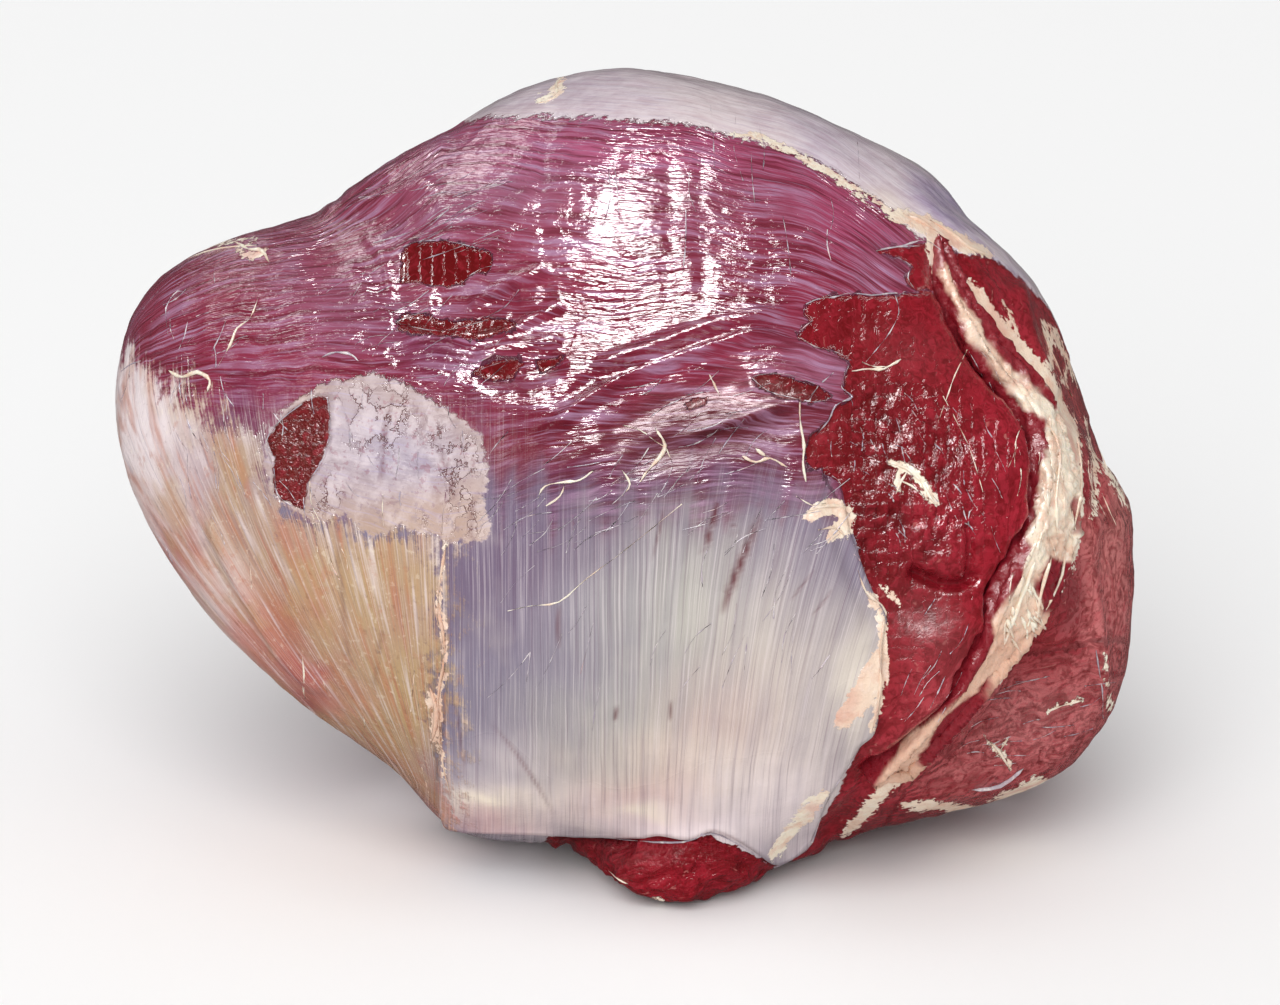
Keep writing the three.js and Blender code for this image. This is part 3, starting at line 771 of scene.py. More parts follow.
def sheet_threads(place):
    """Threads of the sheet and of the tan layer: upright, fanned out at the top right."""
    x, y = place.pixel.T
    low, high = 830, 460
    rise = np.clip((low - y) / (low - high), 0, 1.4) ** 1.5
    fan = 0.55 * rise
    right = (x + 620 * fan) / (1 + fan)
    drop = np.clip((y - 380) / 450, 0, 0.9) ** 1.55
    left = (x - 440 * drop) / (1 - drop)
    from_edge = np.where(x > 440, np.where(x > 620, right, x), left)
    along = place.turned() * 90
    return np.stack([from_edge * MM_PER_PIXEL, along, np.zeros(len(x))], axis=1)


def film_threads(place, skin):
    """Threads of the film, which follow the edge of the top membrane and level out below it."""
    tops = skin.angles(curve(PHOTO_LINES["top_flow"], 4))
    lows = skin.angles(curve(PHOTO_LINES["low_flow"], 4))
    top = np.interp(place.across, tops[:, 0], tops[:, 1])
    low = np.interp(place.across, lows[:, 0], lows[:, 1])
    share = (top - place.turned()) / np.maximum(top - low, 0.25)
    across = place.front * share * 75 + (1 - place.front) * place.turned() * 70
    return np.stack([across, place.across, np.zeros(len(share))], axis=1)


def flesh_threads(place):
    """Grain of the bare muscle: along the lip beside the seam, level on the cut face."""
    lip = curve([(960, 300), (1030, 400), (1037, 495), (1022, 553), (993, 616), (960, 680),
                 (901, 727), (850, 780), (800, 840)])
    distance, along, _ = nearest(place.pixel, lip)
    level = within(place.pixel, CUT_FACE) > 0
    level |= within(place.pixel, FLAP) > 0
    x, y = (place.pixel * MM_PER_PIXEL).T
    across = np.where(level, y + 0.2 * x, distance * MM_PER_PIXEL)
    length = np.where(level, x, along * 190)
    back = np.stack([place.up, place.across, place.out], axis=1)
    made = np.stack([across, length, place.out * 0.3], axis=1)
    return np.where(place.out[:, None] > -8, made, back)


class Skin:
    """The surface of the meat, to lay things on."""

    def __init__(self, *meshes):
        points = []
        faces = []
        for mesh in meshes:
            mesh.calc_loop_triangles()
            first = len(points)
            points += [v.co.copy() for v in mesh.vertices]
            faces += [tuple(first + v for v in t.vertices) for t in mesh.loop_triangles]
        self.tree = BVHTree.FromPolygons(points, faces)

    def depths(self, pixels):
        """Start, directions and lengths of the camera's rays to what some pixels show."""
        start, directions = pixel_rays(pixels)
        origin = Vector(start)
        found = [self.tree.ray_cast(origin, Vector(d))[3] for d in directions]
        return start, directions, np.array(found, float)

    def shown(self, pixels):
        """The points of the skin that some pixels show, without those that miss it."""
        start, directions, depth = self.depths(pixels)
        points = start + directions * depth[:, None]
        return points[~np.isnan(depth)]

    def angles(self, pixels):
        """Place across and angle round the long axis of what some pixels show, in order."""
        place = Place(self.shown(pixels))
        order = np.argsort(place.across)
        return np.stack([place.across, place.turned()], axis=1)[order]


skins = {}


def mesh_points(mesh):
    points = np.zeros(len(mesh.vertices) * 3, np.float32)
    mesh.vertices.foreach_get("co", points)
    return points.reshape(-1, 3).astype(float)


def set_points(mesh, points):
    mesh.vertices.foreach_set("co", np.asarray(points, np.float32).ravel())
    mesh.update()


def mesh_normals(mesh):
    normals = np.zeros(len(mesh.vertices) * 3, np.float32)
    mesh.vertex_normals.foreach_get("vector", normals)
    return normals.reshape(-1, 3).astype(float)


def store(mesh, name, values):
    """Keeps a value, colour or vector for every point of a mesh."""
    values = np.asarray(values, np.float32)
    if values.ndim == 1:
        layer = mesh.attributes.new(name, "FLOAT", "POINT")
        layer.data.foreach_set("value", values)
    else:
        layer = mesh.attributes.new(name, "FLOAT_VECTOR", "POINT")
        layer.data.foreach_set("vector", values.ravel())


def paint(mesh, skin):
    """Gives a mesh the colours, threads and edges that its material reads."""
    place = Place(mesh_points(mesh))
    place.regions()
    count = len(place.points)
    soft = np.tile(colour("mauve"), (count, 1))
    patchy = smooth(-0.3, 0.7, uneven(place.millimetres, 14, 41))
    soft += (colour("wine") - soft) * 0.35 * patchy[:, None]
    lay(soft, place, FILM_WASHES)
    upright_run = sheet_threads(place)
    fingers = 26 * lumps(upright_run[:, :1] / 2.6, 1, 81) + 12 * lumps(upright_run[:, :1] / 0.9, 1, 83)
    sheet = smooth(455, 535, place.spread[:, 1] + fingers) * place.front
    lower = np.tile(colour("slate"), (count, 1))
    lay(lower, place, SHEET_WASHES)
    soft += (lower - soft) * sheet[:, None]
    pale = np.tile(colour("pearl"), (count, 1))
    low = smooth(300, 400, place.pixel[:, 1]) * smooth(560, 440, place.pixel[:, 0]) * place.front
    pale += (colour("tan") - pale) * low[:, None]
    thin = smooth(-2, 2, place.signed(TOP_MEMBRANE)) * 0.25 * place.front
    thin = thin + 0.35 * (1 - place.front)
    wet = np.hypot(*(place.spread - COARSE_FLESH[:2]).T)
    coarse = 0.2 + 0.4 * smooth(COARSE_FLESH[2] * 1.2, COARSE_FLESH[2] * 0.6, wet)
    rough_parts = np.maximum(within(place.pixel, CUT_FACE), within(place.pixel, FLAP))
    rough_parts = np.maximum(rough_parts, place.signed(BROWN_WINDOW) * 4)
    coarse = np.maximum(coarse, 0.8 * smooth(-6, 6, rough_parts)) * place.front + 0.3 * (1 - place.front)
    slit = np.zeros(count)
    for line, half, strength in SLITS:
        distance, along, _ = nearest(place.pixel, curve(line, 4))
        point = np.clip(4 * along * (1 - along), 0, 1)
        slit = np.maximum(slit, strength * point * np.exp(-(distance * MM_PER_PIXEL / half) ** 2))
    slit *= place.front
    bed = (1 - place.front) * smooth(30, 0, np.abs(place.up))
    pale += (colour("pink") - pale) * 0.6 * bed[:, None]
    lay(pale, place, PALE_WASHES)
    flesh = np.tile(colour("red"), (count, 1))
    flesh += (colour("raspberry") - flesh) * 0.5 * smooth(-0.2, 0.8, uneven(place.millimetres, 11, 51))[:, None]
    lay(flesh, place, FLESH_WASHES)
    pits = smooth(0, 0.5, -uneven(place.millimetres, 5.3, 63)) * place.front
    pits *= 0.2 + 0.6 * smooth(COARSE_FLESH[2] * 1.3, COARSE_FLESH[2] * 0.6, wet)
    flesh += (colour("blood") * 0.6 - flesh) * pits[:, None]
    torn = smooth(-1, 1, place.window)
    flesh += (colour("blood") - flesh) * torn[:, None]
    gloss = lay(np.ones(count), place, GLOSS_WASHES)
    upright = np.maximum(sheet, low * smooth(380, 430, place.pixel[:, 1]))
    crackle = np.clip(place.signed(SHINY_PATCH) / 4, 0, 1) * place.front
    store(mesh, "soft_tone", soft)
    store(mesh, "pale_tone", pale)
    store(mesh, "flesh_tone", flesh)
    store(mesh, "bare", place.bare)
    store(mesh, "pale", place.pale)
    store(mesh, "tan", place.tan)
    store(mesh, "fatty", place.fatty)
    store(mesh, "thin", thin)
    store(mesh, "gloss", gloss)
    store(mesh, "upright", upright)
    store(mesh, "crackle", crackle)
    store(mesh, "peachy", lay(np.zeros(count), place, PEACH_WASHES))
    store(mesh, "coarse", coarse)
    store(mesh, "slit", slit)
    run = film_threads(place, skin)
    run[:, 0] += (0.3 + 0.8 * place.front) * uneven(place.millimetres, 13, 45)
    upright_run[:, 0] += 0.4 * uneven(place.millimetres, 24, 47) * place.front
    torn_open = place.bare > 0
    run[torn_open] = (flesh_threads(place) + place.warp)[torn_open]
    store(mesh, "run", run)
    store(mesh, "sheet_run", upright_run)


def relief(place):
    """Height in millimetres of the folds, torn windows, lumps and grain of the meat."""
    height = np.zeros(len(place.points))
    for line, width, rise in FOLDS + VALLEYS:
        distance, along, _ = nearest(place.pixel, curve(line))
        ends = smooth(0, 0.15, along) * smooth(1, 0.85, along)
        height += 1.3 * rise * ends * np.exp(-(distance * MM_PER_PIXEL / width) ** 2)
    for x, y, radius, rise in MEAT_LUMPS:
        reach = np.hypot(*(place.spread - (x, y)).T) / radius
        height += rise * np.exp(-reach ** 2)
    height *= place.front
    bare = smooth(-0.5, 0.7, place.bare)
    height -= bare * sizes().film / MM
    threads = (flesh_threads(place) + place.warp) / (2.8, 12, 6)
    coarse = 1 - 2 * np.abs(0.6 * lumps(threads, 1.4, 61) + 0.5 * lumps(threads, 0.8, 62))
    deep = smooth(COARSE_FLESH[2] * 1.3, COARSE_FLESH[2] * 0.6,
                  np.hypot(*(place.spread - COARSE_FLESH[:2]).T)) * place.front
    rough = (0.16 + 0.6 * deep) * coarse + (0.25 + 0.9 * deep) * uneven(place.millimetres, 5.3, 63)
    rough += 0.5 * uneven(place.millimetres, 11, 65)
    ragged = smooth(-6, 10, within(place.pixel, FLAP)) * place.front
    rough += ragged * (2.2 * uneven(place.millimetres, 9, 67) + 0.7 * coarse)
    rough *= np.where(place.window > -1, 0.3, 1)
    height += smooth(0.3, 3, place.bare) * rough
    skin_bumps = 0.3 * uneven(place.millimetres, 8, 71)
    threads = sheet_threads(place) / (2.2, 30, 1)
    height += (1 - bare) * (skin_bumps + 0.08 * lumps(threads, 1, 73))
    return height


# Working on objects the way it is done by hand.
def only(thing):
    """Makes one object the selected and active one."""
    bpy.ops.object.select_all(action="DESELECT")
    thing.select_set(True)
    bpy.context.view_layer.objects.active = thing


def apply_modifier(thing, kind, **settings):
    only(thing)
    modifier = thing.modifiers.new(kind.title(), kind)
    for name, value in settings.items():
        setattr(modifier, name, value)
    bpy.ops.object.modifier_apply(modifier=modifier.name)


def copy_of_node(node, name):
    """A new object with the merged mesh of a CAD node."""
    made = bpy.data.objects.new(name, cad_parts[node].data.copy())
    bpy.context.scene.collection.objects.link(made)
    made.data.name = name
    made.data.materials.clear()
    only(made)
    bpy.ops.object.mode_set(mode="EDIT")
    bpy.ops.mesh.select_all(action="SELECT")
    bpy.ops.mesh.remove_doubles(threshold=1e-5)
    bpy.ops.object.mode_set(mode="OBJECT")
    return made


def subdivide(thing, chosen):
    """Splits the chosen faces of an object into four."""
    only(thing)
    mesh = thing.data
    bpy.ops.object.mode_set(mode="EDIT")
    bpy.ops.mesh.select_mode(type="FACE")
    bpy.ops.mesh.select_all(action="DESELECT")
    bpy.ops.object.mode_set(mode="OBJECT")
    mesh.polygons.foreach_set("select", chosen)
    bpy.ops.object.mode_set(mode="EDIT")
    bpy.ops.mesh.subdivide(number_cuts=1)
    bpy.ops.object.mode_set(mode="OBJECT")


def face_places(mesh):
    """Middles and normals of a mesh's faces."""
    middles = np.zeros(len(mesh.polygons) * 3, np.float32)
    normals = np.zeros(len(mesh.polygons) * 3, np.float32)
    mesh.polygons.foreach_get("center", middles)
    mesh.polygons.foreach_get("normal", normals)
    return middles.reshape(-1, 3).astype(float), normals.reshape(-1, 3).astype(float)


def smooth_shading(thing):
    only(thing)
    bpy.ops.object.shade_smooth()


def finish(piece, material, node=None):
    """Gives a piece its material and ties it to the frame."""
    smooth_shading(piece)
    piece.data.materials.clear()
    piece.data.materials.append(material)
    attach(piece, "root")
    if node:
        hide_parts(node)


# Materials.
class Nodes:
    """Short ways to add and join the nodes of a material or a group."""

    def __init__(self, tree):
        self.tree = tree

    def add(self, kind, **settings):
        node = self.tree.nodes.new("ShaderNode" + kind)
        for name, value in settings.items():
            setattr(node, name, value)
        return node

    def feed(self, socket, value):
        if isinstance(value, bpy.types.NodeSocket):
            self.tree.links.new(value, socket)
        else:
            socket.default_value = value

    def math(self, operation, a, b=0.0, clamp=False):
        node = self.add("Math", operation=operation, use_clamp=clamp)
        self.feed(node.inputs[0], a)
        self.feed(node.inputs[1], b)
        return node.outputs[0]

    def span(self, value, low, high, to_low=0.0, to_high=1.0):
        """Maps low..high smoothly to to_low..to_high."""
        node = self.add("MapRange", interpolation_type="SMOOTHSTEP")
        for socket, given in zip(node.inputs, (value, low, high, to_low, to_high)):
            self.feed(socket, given)
        return node.outputs[0]

    def mix(self, share, a, b):
        node = self.add("Mix", data_type="RGBA")
        self.feed(node.inputs[0], share)
        self.feed(node.inputs[6], a)
        self.feed(node.inputs[7], b)
        return node.outputs[2]

    def blend(self, share, a, b):
        node = self.add("Mix", data_type="FLOAT")
        self.feed(node.inputs[0], share)
        self.feed(node.inputs[2], a)
        self.feed(node.inputs[3], b)
        return node.outputs[0]

    def product(self, first, *others):
        for other in others:
            first = self.math("MULTIPLY", first, other)
        return first

    def total(self, *pairs):
        """The sum of values, each given with its weight."""
        made = 0.0
        for value, weight in zip(pairs[::2], pairs[1::2]):
            made = self.math("ADD", self.math("MULTIPLY", value, weight), made)
        return made

    def value(self, name):
        return self.add("Attribute", attribute_name=name).outputs["Fac"]

    def vector(self, name):
        return self.add("Attribute", attribute_name=name).outputs["Vector"]

    def tone(self, name):
        return self.add("Attribute", attribute_name=name).outputs["Color"]

    def noise(self, vector, scale, detail=2.0, roughness=0.5, distortion=0.0):
        node = self.add("TexNoise")
        self.feed(node.inputs["Vector"], vector)
        for name, value in (("Scale", scale), ("Detail", detail), ("Roughness", roughness),
                            ("Distortion", distortion)):
            self.feed(node.inputs[name], value)
        return node.outputs["Fac"]

    def group(self, group, **inputs):
        node = self.add("Group", node_tree=group)
        for name, value in inputs.items():
            self.feed(node.inputs[name], value)
        return node.outputs[0]

    def object_place(self):
        return self.add("TexCoord").outputs["Object"]


def new_group(name, inputs, output, output_kind="Float"):
    group = bpy.data.node_groups.new(name, "ShaderNodeTree")
    for label, kind, default in inputs:
        socket = group.interface.new_socket(label, in_out="INPUT", socket_type="NodeSocket" + kind)
        if default is not None:
            socket.default_value = default
    group.interface.new_socket(output, in_out="OUTPUT", socket_type="NodeSocket" + output_kind)
    nodes = Nodes(group)
    entry = group.nodes.new("NodeGroupInput").outputs
    leave = group.nodes.new("NodeGroupOutput").inputs[0]
    return group, nodes, entry, leave


def thread_group():
    """Thin threads along a piece: noise drawn out along the second axis of its threads."""
    group, nodes, entry, leave = new_group(
        "Threads",
        [("Place", "Vector", None), ("Fineness", "Float", 1.0), ("Length", "Float", 20.0),
         ("Seed", "Float", 0.0)],
        "Noise",
    )
    split = nodes.add("SeparateXYZ")
    nodes.feed(split.inputs[0], entry["Place"])
    join = nodes.add("CombineXYZ")
    nodes.feed(join.inputs[0], nodes.math("MULTIPLY", split.outputs[0], entry["Fineness"]))
    nodes.feed(join.inputs[1], nodes.math("DIVIDE", split.outputs[1], entry["Length"]))
    nodes.feed(join.inputs[2], nodes.math("ADD", split.outputs[2], entry["Seed"]))
    nodes.feed(leave, nodes.noise(join.outputs[0], 1.0, 2.0, 0.6))
    return group


def edge_group():
    """The share of a layer at a distance from its edge, with the edge torn by a fine noise."""
    group, nodes, entry, leave = new_group(
        "Torn edge",
        [("Distance", "Float", 0.0), ("Noise", "Float", 0.5), ("Tear", "Float", 0.6),
         ("Softness", "Float", 0.15)],
        "Share",
    )
    tear = nodes.math("SUBTRACT", entry["Noise"], 0.5)
    shifted = nodes.math("ADD", entry["Distance"], nodes.math("MULTIPLY", tear, entry["Tear"]))
    low = nodes.math("MULTIPLY", entry["Softness"], -1.0)
    nodes.feed(leave, nodes.span(shifted, low, entry["Softness"]))
    return group


def new_material(name):
    material = bpy.data.materials.new(name)
    material.use_nodes = True
    tree = material.node_tree
    shader = tree.nodes["Principled BSDF"]
    return material, Nodes(tree), shader


def bump(nodes, shader, height, distance):
    """Turns a height from 0 to 1 into a bump that is distance metres high."""
    node = nodes.add("Bump")
    node.inputs["Strength"].default_value = 1.0
    node.inputs["Distance"].default_value = distance
    nodes.feed(node.inputs["Height"], height)
    nodes.feed(shader.inputs["Normal"], node.outputs["Normal"])


def fat_group():
    """Soft cream fat, peach in places, with whiter grains and pink stains."""
    group, nodes, entry, leave = new_group(
        "Fat",
        [("Clouds", "Float", 0.5), ("Grains", "Float", 0.5), ("Stains", "Float", 0.5),
         ("Cream", "Color", None), ("Peach", "Color", None), ("Stain", "Color", None)],
        "Tone", "Color",
    )
    peach = nodes.span(entry["Clouds"], 0.42, 0.66, 0.0, 0.6)
    tone = nodes.mix(peach, entry["Cream"], entry["Peach"])
    white = nodes.span(entry["Grains"], 0.48, 0.7, 0.0, 0.6)
    tone = nodes.mix(white, tone, (*linear(252, 246, 234), 1))
    tone = nodes.mix(nodes.span(entry["Stains"], 0.56, 0.7, 0.0, 0.5), tone, entry["Stain"])
    nodes.feed(leave, tone)
    return group


def flat(name):
    """A colour of the panel, for a socket."""
    return (*colour(name), 1)


def wash(nodes, tone, noise, low, high, strength, name):
    """Lays a colour of the panel where a noise goes from low to high."""
    return nodes.mix(nodes.span(noise, low, high, 0.0, strength), tone, flat(name))


def film_finish(nodes, n):
    """Film: milky threads, darker gaps between them, and wet ripples across them."""
    tone = wash(nodes, nodes.tone("soft_tone"), n["broad"], 0.52, 0.36, 0.65, "wine")
    milky = nodes.product(nodes.span(n["broad"], 0.5, 0.66, 0.0, 0.75), nodes.span(n["cloud"], 0.3, 0.6))
    tone = nodes.mix(milky, tone, flat("lavender"))
    tone = wash(nodes, tone, n["fine"], 0.5, 0.7, 0.5, "lavender")
    rough = nodes.span(n["cloud"], 0.35, 0.6, 4.0, 10.0)
    ripple = nodes.math("MULTIPLY", n["ripple"], rough)
    return tone, nodes.total(ripple, 1.0, n["fine"], 1.3, n["broad"], 2.0, n["middle"], 3.0)


def sheet_finish(nodes, n):
    """Tendon sheet: close upright threads, light and dark."""
    tone = wash(nodes, nodes.tone("soft_tone"), n["sheet_broad"], 0.4, 0.66, 0.2, "slate")
    tone = wash(nodes, tone, n["cloud"], 0.5, 0.7, 0.12, "bone")
    tone = wash(nodes, tone, n["sheet_mid"], 0.5, 0.3, 0.3, "plum")
    tone = wash(nodes, tone, n["sheet_mid"], 0.52, 0.72, 0.26, "pearl")
    tone = wash(nodes, tone, n["sheet_fine"], 0.52, 0.74, 0.34, "pearl")
    return tone, nodes.total(n["sheet_mid"], 0.9, n["sheet_fine"], 0.5, n["middle"], 2.5)


def tan_finish(nodes, n):
    """Tan layer: upright fibres, warm stains, dark scratches and small flakes."""
    tone = wash(nodes, nodes.tone("pale_tone"), n["sheet_broad"], 0.46, 0.7, 0.6, "orange")
    tone = wash(nodes, tone, n["cloud"], 0.45, 0.62, 0.35, "olive")
    tone = wash(nodes, tone, n["sheet_broad"], 0.46, 0.3, 0.5, "pearl")
    tone = wash(nodes, tone, n["sheet_mid"], 0.52, 0.7, 0.34, "pearl")
    tone = wash(nodes, tone, n["sheet_mid"], 0.46, 0.3, 0.3, "slate")
    tone = wash(nodes, tone, n["middle"], 0.42, 0.3, 0.35, "orange")
    tone = wash(nodes, tone, n["grain"], 0.58, 0.7, 0.25, "cream")
    tone = wash(nodes, tone, n["grain"], 0.4, 0.3, 0.2, "brown")
    return tone, nodes.total(n["middle"], 4.0, n["grain"], 2.0, n["sheet_mid"], 2.0)


def pale_finish(nodes, n):
    """Pale membrane: cloudy, thin enough in places to show the film, cracked where it is shiny."""
    tone = wash(nodes, nodes.tone("pale_tone"), n["middle"], 0.4, 0.7, 0.35, "pearl")
    tone = wash(nodes, tone, n["fine"], 0.5, 0.72, 0.35, "violet")
    worn = nodes.total(nodes.span(n["middle"], 0.6, 0.36), 0.5, nodes.span(n["broad"], 0.6, 0.38), 0.5)
    tone = nodes.mix(nodes.math("MULTIPLY", worn, nodes.value("thin")), tone, nodes.tone("soft_tone"))
    ridge = nodes.math("ABSOLUTE", nodes.math("SUBTRACT", n["middle"], 0.5))
    crackle = nodes.value("crackle")
    crack = nodes.product(
        nodes.span(ridge, 0.02, 0.004), nodes.span(n["cloud"], 0.44, 0.6), crackle)
    fleck = nodes.product(nodes.span(n["grain"], 0.44, 0.36), crackle)
    tone = nodes.mix(nodes.math("MULTIPLY", fleck, 0.35), tone, nodes.tone("soft_tone"))
    tone = nodes.mix(nodes.math("MULTIPLY", crack, 0.8), tone, flat("brown"))
    return tone, nodes.total(n["middle"], 2.0, crack, -2.0, n["broad"], 1.2)


def flesh_finish(nodes, n):
    """Flesh: dark and bright bundles of muscle, with fine white marbling."""
    tone = wash(nodes, nodes.tone("flesh_tone"), n["broad"], 0.4, 0.62, 0.6, "blood")
    tone = wash(nodes, tone, n["fine"], 0.45, 0.68, 0.4, "raspberry")
    tone = wash(nodes, tone, n["grain"], 0.5, 0.36, 0.5, "blood")
    tone = wash(nodes, tone, n["ripple"], 0.66, 0.76, 0.4, "pink")
    height = nodes.total(n["grain"], 12.0, n["broad"], -6.0, n["fine"], 5.0, n["middle"], 8.0)
    return tone, nodes.math("MULTIPLY", height, nodes.value("coarse"))


def skin_noises(nodes):
    """The noises that the layers share: along the threads, along the sheet and all round."""
    threads = bpy.data.node_groups["Threads"]
    place = nodes.object_place()
    run = nodes.vector("run")
    sheet = nodes.vector("sheet_run")
    return {
        "broad": nodes.group(threads, Place=run, Fineness=0.55, Length=26.0),
        "fine": nodes.group(threads, Place=run, Fineness=1.9, Length=13.0, Seed=7.0),
        "ripple": nodes.group(threads, Place=run, Fineness=0.8, Length=6.0, Seed=11.0),
        "sheet_broad": nodes.group(threads, Place=sheet, Fineness=0.33, Length=45.0),
        "sheet_mid": nodes.group(threads, Place=sheet, Fineness=1.9, Length=50.0, Seed=5.0),
        "sheet_fine": nodes.group(threads, Place=sheet, Fineness=4.6, Length=36.0, Seed=8.0),
        "cloud": nodes.noise(place, 60.0, 2.0, 0.6),
        "middle": nodes.noise(place, 180.0, 4.0, 0.65),
        "grain": nodes.noise(place, 560.0, 3.0, 0.65),
    }


def skin_material():
    """Wet muscle under film, threads of tendon, pale torn layers, bare flesh and fat."""
    material, nodes, shader = new_material("knuckle_skin")
    torn_edge = bpy.data.node_groups["Torn edge"]
    n = skin_noises(nodes)

    def edge(name, tear, softness):
        distance = nodes.value(name)
        return nodes.group(torn_edge, Distance=distance, Noise=n["grain"], Tear=tear, Softness=softness)

    drips = nodes.total(n["sheet_mid"], 14.0, n["middle"], 22.0, n["grain"], 6.0)
    drips = nodes.math("SUBTRACT", drips, 21.0)
    shares = (
        nodes.value("upright"),
        nodes.span(nodes.math("ADD", nodes.value("tan"), drips), -3.0, 3.0),
        edge("pale", 5.0, 0.5),
        edge("bare", 2.0, 0.12),
        edge("fatty", 4.0, 0.2),
    )
    fat = nodes.group(
        bpy.data.node_groups["Fat"], Clouds=n["middle"], Grains=n["grain"], Stains=n["cloud"],
        Cream=flat("cream"), Peach=flat("peach"), Stain=flat("pink"))
    fat = nodes.mix(nodes.math("MULTIPLY", nodes.value("peachy"), 0.55), fat, flat("peach"))
    layers = (
        sheet_finish(nodes, n), tan_finish(nodes, n), pale_finish(nodes, n), flesh_finish(nodes, n),
        (fat, nodes.math("MULTIPLY", n["grain"], 5.0)),
    )
    tone, height = film_finish(nodes, n)
    for share, (over, over_height) in zip(shares, layers):
        tone = nodes.mix(share, tone, over)
        height = nodes.blend(share, height, over_height)
    slit = nodes.value("slit")
    tone = nodes.mix(slit, tone, flat("wine"))
    height = nodes.math("SUBTRACT", height, nodes.math("MULTIPLY", slit, 4.0))
    nodes.feed(shader.inputs["Base Color"], tone)
    bump(nodes, shader, height, 0.0001)
    gloss = nodes.math("MULTIPLY", nodes.value("gloss"), nodes.span(shares[4], 0.0, 1.0, 1.0, 0.45))
    nodes.feed(shader.inputs["Roughness"], nodes.span(gloss, 0.0, 1.0, 0.62, 0.14))
    shader.inputs["IOR"].default_value = 1.6
    return material


def soft_material(name, pale, warm, stain):
    """Soft fat or film with fine fibres and wet spots."""
    material, nodes, shader = new_material(name)
    place = nodes.object_place()
    grains = nodes.noise(place, 620.0, 3.0, 0.65)
    tone = nodes.group(
        bpy.data.node_groups["Fat"], Clouds=nodes.noise(place, 130.0, 3.0, 0.6), Grains=grains,
        Stains=nodes.noise(place, 80.0, 3.0, 0.6), Cream=flat(pale), Peach=flat(warm),
        Stain=flat(stain))
    tone = nodes.mix(nodes.math("MULTIPLY", nodes.value("peachy"), 0.8), tone, flat(warm))
    flesh = nodes.mix(grains, flat("blood"), flat("raspberry"))
    tone = nodes.mix(nodes.value("covered"), tone, flesh)
    nodes.feed(shader.inputs["Base Color"], tone)
    nodes.feed(shader.inputs["Roughness"], nodes.span(grains, 0.3, 0.7, 0.25, 0.55))
    bump(nodes, shader, grains, 0.0005)
    shader.inputs["Subsurface Weight"].default_value = 0.12
    shader.inputs["Subsurface Radius"].default_value = (1.0, 0.6, 0.4)
    shader.inputs["Subsurface Scale"].default_value = 0.002
    return material


def floor_material():
    material, nodes, shader = new_material("pale_floor")
    place = nodes.object_place()
    clouds = nodes.noise(place, 6.0, 3.0, 0.5)
    pale = (*colour("floor"), 1)
    tone = nodes.mix(nodes.math("MULTIPLY", clouds, 0.3), pale, (*linear(250, 250, 250), 1))
    nodes.feed(shader.inputs["Base Color"], tone)
    shader.inputs["Roughness"].default_value = 0.75
    return material


def draped(name, outline, step, lift, thickness, skin, passes=0):
    """A thin piece laid on the skin inside an outline of the photograph.

    It starts as a flat grid of faces step pixels wide. lift gives the height of its upper side over
    the skin in mm, from the distance inside the outline and the place. passes evens out how it
    follows the skin, so that it bridges narrow dips.
    """
    outline = curve(outline, 5, closed=True)
    low, high = outline.min(0) - step, outline.max(0) + step
    columns, rows = np.ceil((high - low) / step).astype(int).tolist()
    bpy.ops.object.select_all(action="DESELECT")
    bpy.ops.mesh.primitive_grid_add(x_subdivisions=columns, y_subdivisions=rows, size=2)
    piece = bpy.context.object
    piece.name = name
    mesh = piece.data
    mesh.name = name

    def grid_pixels():
        place = mesh_points(mesh)[:, :2] * (1, -1)
        return low + (place + 1) / 2 * (high - low)

    def corners():
        numbers = np.zeros(len(mesh.loops), np.int32)
        mesh.loops.foreach_get("vertex_index", numbers)
        return numbers

    outside = within(grid_pixels(), outline) <= 0
    bpy.ops.object.mode_set(mode="EDIT")
    bpy.ops.mesh.select_mode(type="FACE")
    bpy.ops.mesh.select_all(action="DESELECT")
    bpy.ops.object.mode_set(mode="OBJECT")
    mesh.polygons.foreach_set("select", outside[corners().reshape(-1, 4)].any(1))
    bpy.ops.object.mode_set(mode="EDIT")
    bpy.ops.mesh.delete(type="FACE")
    bpy.ops.object.mode_set(mode="OBJECT")

    pixels = grid_pixels()
    rim = np.bincount(corners(), minlength=len(pixels)) < 4
    pixels[rim] = nearest(pixels[rim], outline, closed=True)[2]
    ends = np.zeros(len(mesh.edges) * 2, np.int32)
    mesh.edges.foreach_get("vertices", ends)
    ends = ends.reshape(-1, 2)
    sources = np.concatenate([ends[:, 0], ends[:, 1]])
    targets = np.concatenate([ends[:, 1], ends[:, 0]])
    start, directions, depth = skin.depths(pixels)
    while np.isnan(depth).any():
        known = ~np.isnan(depth[targets])
        share = np.bincount(sources[known], minlength=len(depth))
        total = np.bincount(sources[known], depth[targets[known]], minlength=len(depth))
        filled = np.isnan(depth) & (share > 0)
        depth[filled] = total[filled] / share[filled]
    first = depth.copy()
    share = np.bincount(sources, minlength=len(depth))
    for _ in range(passes):
        total = np.bincount(sources, depth[targets], minlength=len(depth))
        depth = np.minimum(first, 0.4 * depth + 0.6 * total / share)
    points = start + directions * depth[:, None]
    set_points(mesh, points)
    distance = within(pixels, outline) * MM_PER_PIXEL
    points += mesh_normals(mesh) * (lift(distance, Place(points)) * MM)[:, None]
    set_points(mesh, points)
    apply_modifier(piece, "SOLIDIFY", thickness=thickness * MM, offset=-1)
    return piece


